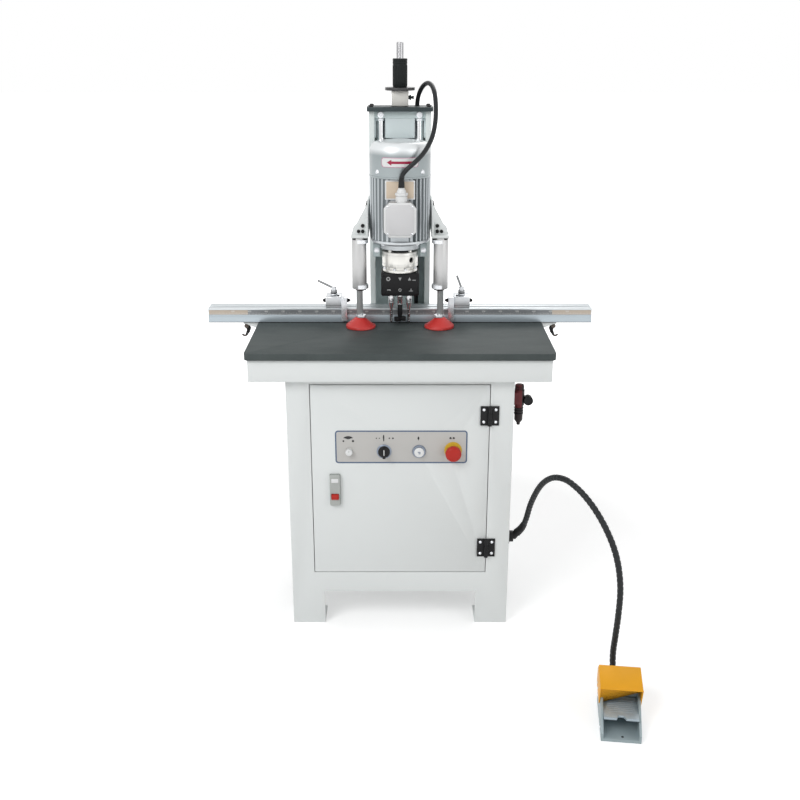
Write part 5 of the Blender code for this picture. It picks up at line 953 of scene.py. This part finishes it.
def build_column():
    low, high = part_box("top_plate")
    for x, y in product((low[0] + 0.012, high[0] - 0.012), (low[1] + 0.02, high[1] - 0.014)):
        socket_screw((x, y, high[2]), UP, 0.0062, 0.005)
    make("top_plate_screws", BLACK)
    for sign in (-1, 1):
        lathe([(0, 0.004), (0.003, 0.004), (0.0034, 0.006), (0.0086, 0.0056), (0.0095, 0.004), (0.0095, 0), (0, 0)],
              (sign * ROD_X, 0.1, 0.5975), FRONT)
        for height in (0.581, 0.2105):
            lathe(pipe(0.0128, 0.0158, 0.006), (sign * ROD_X, ROD_Y, height), UP, 32)
    make("guide_rod_screws", PALE_METAL)
    for x, y in product((-0.099, 0.099), (0.104, 0.184)):
        hex_bolt((x, y, 0.0123), UP, 0.0065, 0.006)
    make("column_foot_bolts", PALE_METAL)
    for height in (0.331, 0.569):
        band(0.029, 0.03, 0.01, 0.001, (0, LIFT_Y, height), 32)
    make("lift_cylinder_caps", CAST)
    for height in (0.345, 0.573):
        lathe([(0, 0), (0.0052, 0), (0.0052, 0.003), (0.0062, 0.0032, True), (0.0062, 0.0085, True),
               (0.004, 0.009), (0.004, 0.01), (0, 0.01)], (0.0285, LIFT_Y, height), RIGHT)
    make("lift_ports", STEEL)
    slab(rounded(0.0856, 0.055, 0.002), (0, 0.1007, 0.5603), 0.0014)
    for sign in (-1, 1):
        slab(rounded(0.017, 0.055, 0.002), (sign * 0.0774, 0.111, 0.5603), 0.0014)
    make("lift_cover", LIFT_COVER, "machine", 0.0004)
    slab(rounded(0.14, 0.46, 0.008), (0, 0.1681, 0.33), 0.0014, LEFT)
    make("column_rear_cover", COLUMN_PAINT, "machine", 0.0005)
    for x, z in product((-0.062, 0.062), (0.11, 0.256, 0.404, 0.55)):
        dome_screw((x, 0.1695, z), BACK, 0.0042)
    make("column_cover_screws", PALE_METAL)

    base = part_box("stroke_stop")[0][2]
    lathe([(0, 0), (0.0052, 0), (0.0052, 0.003), (0.007, 0.0032, True), (0.007, 0.008, True), (0.0036, 0.0084),
           (0.0036, 0.011), (0.0046, 0.0114), (0.0046, 0.016), (0, 0.0164)], (0.0242, LIFT_Y, base + 0.024), RIGHT)
    make("stroke_stop_fitting", DARK_PLATE, "machine")
    block((-0.0245, 0.104, base + 0.0006), (0.0245, 0.156, base + 0.0436))
    make("stroke_stop_block", CREAM_SIDE, "machine", 0.003)
    low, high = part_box("stroke_sleeve")
    for drop in (0.006, 0.0135):
        band(0.0203, 0.0211, 0.0045, 0.0006, (0, LIFT_Y, high[2] - drop), 40)
    for turn in range(0, 360, 15):
        bar(Vector((0, LIFT_Y, low[2] + 0.004)) + polar(0.0204, turn), (0, 0, 0.056), 0.0008)
    make("sleeve_ribs", SLEEVE, "sleeve")


def build_clamps():
    for sign, side in SIDES:
        x, y = sign * CLAMP_X, CLAMP_Y
        slab([polar(0.0235, turn).xy for turn in range(0, 181, 10)] + [(-0.0235, -0.017), (0.0235, -0.017)],
             (sign * 0.1125, BRACKET_FRONT + 0.0021, 0.2865), 0.0021)
        make("bracket_lobe_" + side, WHITE, edge=0.0008)
        for across, height, radius in ((0.1065, 0.301, 0.0052), (0.1065, 0.285, 0.0052), (0.1185, 0.285, 0.0048)):
            socket_screw((sign * across, BRACKET_FRONT, height), FRONT, radius, 0.0045)
        for along, height in product((0.06, 0.105, 0.15), (0.286, 0.34)):
            socket_screw((sign * 0.0963, along, height), (sign, 0, 0), 0.0056, 0.005)
        make("bracket_screws_" + side, BLACK)
        for dx, dy in product((-0.0165, 0.0165), (-0.0165, 0.0165)):
            nut(0, 0.0052, 0.005, (x + dx, y + dy, 0.263))
        nut(0.0098, 0.014, 0.0052, (x, y, 0.113))
        make("clamp_nuts_" + side, BLACK, edge=0.0003)
        for height in (0.119, 0.2513):
            band(0.0214, 0.0224, 0.0104, 0.0008, (x, y, height), 40)
        make("clamp_caps_" + side, PALE_METAL, "machine")
        port((x, y + 0.0208, 0.256), BACK, 0.0048, 0.006, 0.009, 0.0042, 0.013)
        make("clamp_port_" + side, BRASS)
        nut(0.0094, 0.0135, 0.007, (x, y, 0.0312))
        make("foot_nut_" + side, PALE_METAL, "clamp_" + side, edge=0.0004)
        lathe([(0.0408, 0.0002), (0.0418, 0.001), (0.0418, 0.0058), (0.0404, 0.0072), (0.038, 0.0074),
               (0.038, 0.0002)], (x, y, 0.0002), UP, 48)
        make("foot_lip_" + side, RED, "clamp_" + side)


# Fence rail, its brackets and stops

def rail_number(mark, sign, front):
    """A generic number on the ruler, in the middle of its mark."""
    text = bpy.data.curves.new("number", "FONT")
    text.body = str(mark * 50)
    text.size = 0.007
    text.align_x = "CENTER"
    text.extrude = 0.0001
    sample = link("number", text)
    bpy.context.view_layer.update()
    mesh = bpy.data.meshes.new_from_object(sample.evaluated_get(bpy.context.evaluated_depsgraph_get()))
    bpy.data.objects.remove(sample)
    mesh.transform(Matrix.Translation((sign * mark * 0.05, front + 0.0002, 0.0325))
                   @ Matrix.Rotation(math.radians(90.0), 4, "X"))
    SHAPE.from_mesh(mesh)


def build_rail():
    low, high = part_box("fence_rail")
    front = low[1]
    block((low[0] + 0.002, front + 0.0002, 0.025), (high[0] - 0.002, front + 0.0013, 0.0386))
    make("rail_ruler", RULER, "machine")
    for mark, sign in product(range(1, 11), (-1, 1)):
        rail_number(mark, sign, front)
    make("rail_numbers", RULER_WHITE, "machine")
    middle = middle_of("fence_rail")
    for (end, sign), across in product(((low[0], -1), (high[0], 1)), (-0.02, 0.02)):
        lathe(disc(0.0028, 0.0001, -0.001), (end, middle.y + across, middle.z - 0.004), (sign, 0, 0), 12)
    make("rail_end_holes", DARK_GAP)

    for sign, side in SIDES:
        x = sign * RAIL_CLAMP_X
        lever = [(sign * across, up) for across, up in
                 ((-0.0065, -0.007), (0.0065, -0.007), (0.001, -0.026), (0.0055, -0.04), (0, -0.042),
                  (-0.008, -0.033), (-0.012, -0.02))]
        slab(lever[::sign], (x, 0.0425, 0), 0.007)
        make("rail_clamp_lever_" + side, BLACK, edge=0.0012)
        lathe([(0, 0), (0.006, 0), (0.007, 0.0015), (0.007, 0.006), (0.0055, 0.007), (0, 0.007)],
              (x, 0.035, -0.012), FRONT, 20)
        sweep(route([(x + sign * across, 0.039, height) for across, height in
                     ((0, -0.04), (0.006, -0.044), (0.012, -0.043), (0.015, -0.039))], 0.003), 0.003, 10)
        make("rail_clamp_hook_" + side, BRONZE, "machine")
        for y in (0.036, 0.069):
            hex_bolt((sign * 0.4312, y, -0.026), (sign, 0, 0), 0.0048, 0.0045)
        make("rail_bracket_bolts_" + side, PALE_METAL)

    for sign, side, inner in ((-1, "left", -0.175), (1, "right", 0.161)):
        lathe([(0, 0.009), (0.003, 0.0086), (0.0058, 0.004), (0.0062, 0), (0, 0)],
              (inner + sign * 0.047, STOP_Y, STOP_PIN_Z), (sign, 0, 0), 20)
        make("stop_pin_end_" + side, BLACK, "stop_" + side)
        lathe([(0, 0.01), (0.0026, 0.0096), (0.005, 0.0045), (0.0066, 0), (0, 0)],
              (inner - sign * 0.0173, STOP_Y, STOP_PIN_Z), (-sign, 0, 0), 20)
        make("blade_knob_" + side, BLACK, "stop_blade_" + side)
        low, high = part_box("stop_block_" + side)
        middle = (low[0] + high[0]) / 2
        socket_screw((middle - sign * 0.014, 0.036, high[2]), UP, 0.0036, 0.0028)
        block((low[0] + 0.0005, low[1] - 0.0003, low[2] + 0.009), (high[0] - 0.0005, low[1] + 0.001, low[2] + 0.0098))
        make("stop_block_detail_" + side, DARK_GAP, "stop_" + side)
        lathe([(0.0034, -0.0016), (0.006, -0.0016), (0.0072, 0), (0.006, 0.0016), (0.0034, 0.0016)],
              (middle, STOP_LEVER_Y - 0.0078, 0.099), FRONT)
        band(0.0101, 0.0112, 0.002, 0.001, (middle, STOP_LEVER_Y, 0.0805))
        make("lever_collar_" + side, PALE_METAL, "stop_lever_" + side)


# Door, panel, latch and hinges

def build_panel():
    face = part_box("door")[0][1]
    place_x, place_z, width, height = 0.0035, -0.2829, 0.373, 0.099
    slab(rounded(width, height, 0.009), (place_x, face - 0.0001, place_z), 0.0008)
    make("panel_film", PANEL, "door", 0.0001)
    frame_slab(rounded(width, height, 0.009), rounded(width - 0.0075, height - 0.0075, 0.0055),
               (place_x, face - 0.0008, place_z), INK_DEPTH)
    make("panel_outline", PANEL_BLUE, "door")
    front = face - 0.0009
    outside = [polar(0.021, 50 + 80 * step / 12).xy for step in range(13)]
    inside = [polar(0.019 - 0.0075 * math.sin(math.pi * step / 12), 130 - 80 * step / 12).xy for step in range(13)]
    marks = [(-0.146, 0.025, outside + inside)]
    marks += [(x, z, square(2 * radius, radius * 0.99, 4)) for x, z, radius in (
        (-0.1595, 0.031, 0.0026), (-0.1325, 0.031, 0.0034), (-0.0665, 0.0395, 0.0018), (-0.058, 0.0395, 0.0016),
        (-0.03, 0.0395, 0.0022), (-0.02, 0.0395, 0.0026))]
    marks += [(-0.046, 0.04, [(-0.0012, -0.0095), (0.0012, -0.0095), (0.0022, 0.004), (0.0008, 0.01),
                              (-0.001, 0.01), (-0.0024, 0.003)]),
              (0.052, 0.0385, [(0, -0.006), (0.003, 0.001), (0.0012, 0.006), (-0.0014, 0.006), (-0.003, 0.001)])]
    marks += [(x, 0.04, [(-0.0034, -0.0026), (0.0034, -0.0026), (0.0018, 0.003), (-0.0026, 0.003)])
              for x in (0.1425, 0.1515)]
    for x, z, outline in marks:
        slab(outline, (x, front, CONTROL_LEVEL + z), INK_DEPTH)
    make("panel_marks", INK, "door")

    lathe([(0.018, 0), (0.021, 0), (0.021, 0.0022), (0.0185, 0.004), (0.0172, 0.004)],
          (SELECTOR_X, front, CONTROL_LEVEL), FRONT, 40)
    lathe([(0.0148, 0), (0.0195, 0), (0.0195, 0.0022), (0.0175, 0.005), (0.0148, 0.005)],
          (START_X, front, CONTROL_LEVEL), FRONT, 40)
    make("button_bezels", BEZEL, "door")
    lathe([(0.012, 0), (0.0248, 0), (0.0248, 0.002), (0.0236, 0.003), (0.0182, 0.0034), (0.0174, 0.011),
           (0.012, 0.011)], (EMERGENCY_X, front, CONTROL_LEVEL + 0.0035), FRONT, 48)
    make("emergency_collar", YELLOW_DISC, "door")
    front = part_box("selector_switch")[0][1]
    block((SELECTOR_X - 0.0011, front - 0.0004, CONTROL_LEVEL - 0.004),
          (SELECTOR_X + 0.0011, front + 0.001, CONTROL_LEVEL + 0.0125))
    make("selector_line", WHITE_GLOSS, "selector", edge=0.0002)
    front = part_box("delay_knob")[0][1]
    block((DELAY_X - 0.0006, front - 0.0003, CONTROL_LEVEL + 0.0005),
          (DELAY_X + 0.0006, front + 0.0008, CONTROL_LEVEL + 0.008))
    for step in range(14):
        spoke = polar(0.0099, 360 * step / 14)
        bar(Vector((DELAY_X + spoke.x, front + 0.0016, CONTROL_LEVEL + spoke.y)), (0, 0.01, 0), 0.0005, 5)
    make("delay_line", GREY_PLASTIC, "delay")
    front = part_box("start_button")[0][1] - 0.0001
    for x, rise, width in ((START_X, 0.002, 0.0076), (START_X + 0.001, -0.0025, 0.006)):
        slab(rounded(width, 0.0022, 0.001, 3), (x, front, CONTROL_LEVEL + rise), INK_DEPTH)
    make("start_mark", PANEL_BLUE, "start")


def build_door():
    low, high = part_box("door_latch")
    middle = middle_of("door_latch")
    slab(rounded(0.02, 0.012, 0.002), (middle.x, low[1] - 0.0002, high[2] - 0.016), 0.0012)
    make("latch_pad", WHITE_GLOSS, "door", edge=0.0003)
    width, height = high[0] - low[0], high[2] - low[2]
    frame_slab(rounded(width + 0.0016, height + 0.0016, 0.003), rounded(width - 0.003, height - 0.003, 0.0015),
               (middle.x, high[1] - 0.0002, middle.z), 0.003)
    make("latch_rim", RIM_GREY, "door", 0.0004)
    for label, (leaf, sign, body) in product(("upper", "lower"), (("frame", 1, "machine"), ("door", -1, "door"))):
        centre_z = middle_of("hinge_%s_%s_leaf" % (label, leaf)).z
        for up in (-0.018, 0.018):
            dome_screw((HINGE_X + sign * 0.0165, -0.2752, centre_z + up), FRONT, 0.0045)
        make("hinge_%s_%s_screws" % (label, leaf), PALE_METAL, body)


# Air unit and hose gland

def build_air_unit():
    low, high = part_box("air_unit")
    for turn in range(0, 360, 18):
        bar(AIR_AXIS + polar(0.0121, turn, high[2] - 0.013), (0, 0, 0.011), 0.0009)
    for drop in (0.07, 0.078, 0.086):
        band(0.0118, 0.0136, 0.002, 0.001, AIR_AXIS + Vector((0, 0, high[2] - drop)), 28)
    make("air_unit_ribs", PLASTIC)
    gauge = AIR_AXIS + Vector((0.025, -0.0124, high[2] - 0.045))
    lathe([(0.011, 0), (0.0134, 0), (0.0134, 0.0016), (0.0122, 0.0024), (0.011, 0.0014)], gauge, FRONT, 40)
    make("gauge_bezel", BLACK)
    lathe(disc(0.0111, 0.0006, 0), gauge, FRONT, 40)
    make("gauge_dial", GAUGE_FACE, "machine")
    for step in range(11):
        spoke = polar(1, 225 - 27 * step)
        sweep([gauge + Vector((spoke.x * reach, -0.0007, spoke.y * reach)) for reach in (0.0078, 0.01)], 0.0003, 5)
    bar(gauge + Vector((0.0015, -0.0009, -0.0015)), (-0.0065, 0, 0.007), 0.00035, 5)
    make("gauge_marks", WHITE_GLOSS)
    lathe([(0.003, -0.003), (0.0058, -0.001), (0.0062, 0.002), (0.004, 0.005)],
          AIR_AXIS + Vector((0, 0, low[2] + 0.008)), UP, 20)
    make("air_drain_ball", PLASTIC)
    low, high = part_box("hose_gland")
    nut(0.0125, 0.0185, 0.006, (0.3184, (low[1] + high[1]) / 2 - 0.004, low[2] + 0.0172), RIGHT, 36)
    make("gland_ring", PLASTIC, edge=0.0004)


# Pedal

def side_screws(reach, spots, radius):
    """Screws in both cheeks, at places along and up."""
    across = PEDAL_TURN @ Vector(RIGHT)
    for sign, (along, up) in product((-1, 1), spots):
        dome_screw(pedal_point(sign * reach, along, up), across * sign, radius)


def build_pedal():
    lathe(disc(0.0034, 0, 0.0003), pedal_point(0.004, 0.012, 0.008), UP, 16)
    make("pedal_drain_hole", DARK_GAP)
    side_screws(0.0498, ((0.1145, 0.05), (0.15, 0.03), (0.04, 0.014)), 0.0042)
    make("pedal_side_screws", PALE_METAL)
    lathe([(0.0088, 0), (0.013, 0, True), (0.013, 0.008, True), (0.01, 0.0086), (0.01, 0.014), (0.0088, 0.014)],
          pedal_point(0, PEDAL_LENGTH, 0.0132), PEDAL_TURN @ Vector(BACK), 36)
    make("pedal_hose_nut", BRASS, edge=0.0004)
    for step in range(7):
        sweep([pedal_point(across, 0.052 + step * 0.008, 0.0531) for across in (-0.036, 0.036)], 0.0004, 6)
    make("treadle_ribs", TREADLE, "treadle")
    sweep([pedal_point(across, 0.064, 0.1095) for across in (-0.0535, 0.0535)], 0.0018, 10)
    for across in (-0.0522, 0.0522):
        sweep(route([pedal_point(across, along, up) for along, up in ((0.0645, 0.109), (0.076, 0.08), (0.088, 0.051))],
                    0.01), 0.0016, 8)
    make("hood_rolled_edge", YELLOW, "machine")
    side_screws(0.0528, ((0.135, 0.062), (0.16, 0.062)), 0.004)
    make("hood_screws", PALE_METAL)


# Electrical board, and the cabinet's rear panel

def build_board():
    low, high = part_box("control_board")
    width, height = high[0] - low[0], high[2] - low[2]
    rooms = [(centre * width, wide * width, high[1] - BOARD_THICK - deep * width, high[2] - base * height,
              high[2] - top * height) for centre, wide, deep, top, base in DEVICES]
    devices = [room for index, room in enumerate(rooms) if index != TERMINAL_STRIP]
    strip_x, strip_wide, strip_front, strip_base, strip_top = rooms[TERMINAL_STRIP]
    clamps = [strip_x + strip_wide * ((step + 0.5) / 23 - 0.5) for step in range(23)]

    for x, wide, front, base, top in devices:
        slab(rounded(wide * 0.30, (top - base) * 0.18, 0.002, 3), (x, front - 0.0066, (base + top) / 2), 0.0024)
    for place in clamps:
        slab(rounded(0.011, (strip_top - strip_base) * 0.44, 0.001, 2),
             (place, strip_front, (strip_base + strip_top) / 2), 0.006)
    make("board_labels", GREY_PLASTIC, edge=0.0003)
    for x, wide, front, base, top in devices:
        count = max(3, int(wide / 0.016))
        for step, rise in product(range(count), (base + 0.01, top - 0.01)):
            socket_screw((x + wide * ((step + 0.5) / count - 0.5), front + 0.0002, rise), FRONT, 0.0036, 0.0018)
    for place, rise in product(clamps, (strip_base + 0.006, strip_top - 0.006)):
        socket_screw((place, strip_front + 0.0002, rise), FRONT, 0.003, 0.0016)
    make("board_screws", BRASS)
    for x, wide, front, base, top in devices:
        slab(rounded(wide * 0.62, (top - base) * 0.42, 0.004, 4), (x, front + 0.0002, (base + top) / 2), 0.007)
    make("board_covers", PLASTIC, edge=0.0008)

    def wires(steps):
        for x, wide, front, base, top in devices:
            down = base > strip_top
            for step in steps:
                share = (step + 0.5) / 5 - 0.5
                start = Vector((x + wide * share, front + 0.006, base if down else top))
                end = Vector((x * 0.92 + wide * 0.62 * share, strip_front + 0.006, strip_top if down else strip_base))
                away = Vector((0, 0, -0.01 if down else 0.01))
                middle = (start + end) / 2 + Vector((0, -0.006, 0))
                sweep(route([start - away * 0.3, start + away, middle, end - away, end + away * 0.3], 0.004), 0.0012, 8)

    wires((0, 3))
    make("board_wires_dark", RUBBER)
    wires((1, 2, 4))
    make("board_wires_blue", PANEL_BLUE, "machine")


def build_rear():
    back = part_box("cabinet")[1][1]
    slab(rounded(0.52, 0.56, 0.012), (0, back + 0.0001, -0.43), 0.0014, LEFT)
    make("rear_panel", WHITE, edge=0.0005)
    for x, step in product((-0.11, 0.11), range(7)):
        sweep([Vector((x + end, back + 0.0016, -0.22 - 0.016 * step)) for end in (-0.06, 0.06)], 0.0036, 10)
    make("rear_louvres", WHITE)
    for x, z in product((-0.244, 0, 0.244), (-0.166, -0.43, -0.694)):
        if x or z != -0.43:
            dome_screw((x, back + 0.0014, z), BACK, 0.0052)
    make("rear_panel_screws", PALE_METAL)


for build in (build_stage, build_cords, build_cowl, build_terminal_box, build_bell, build_gear_head, build_column,
              build_clamps, build_rail, build_panel, build_door, build_air_unit, build_pedal, build_board, build_rear):
    build()
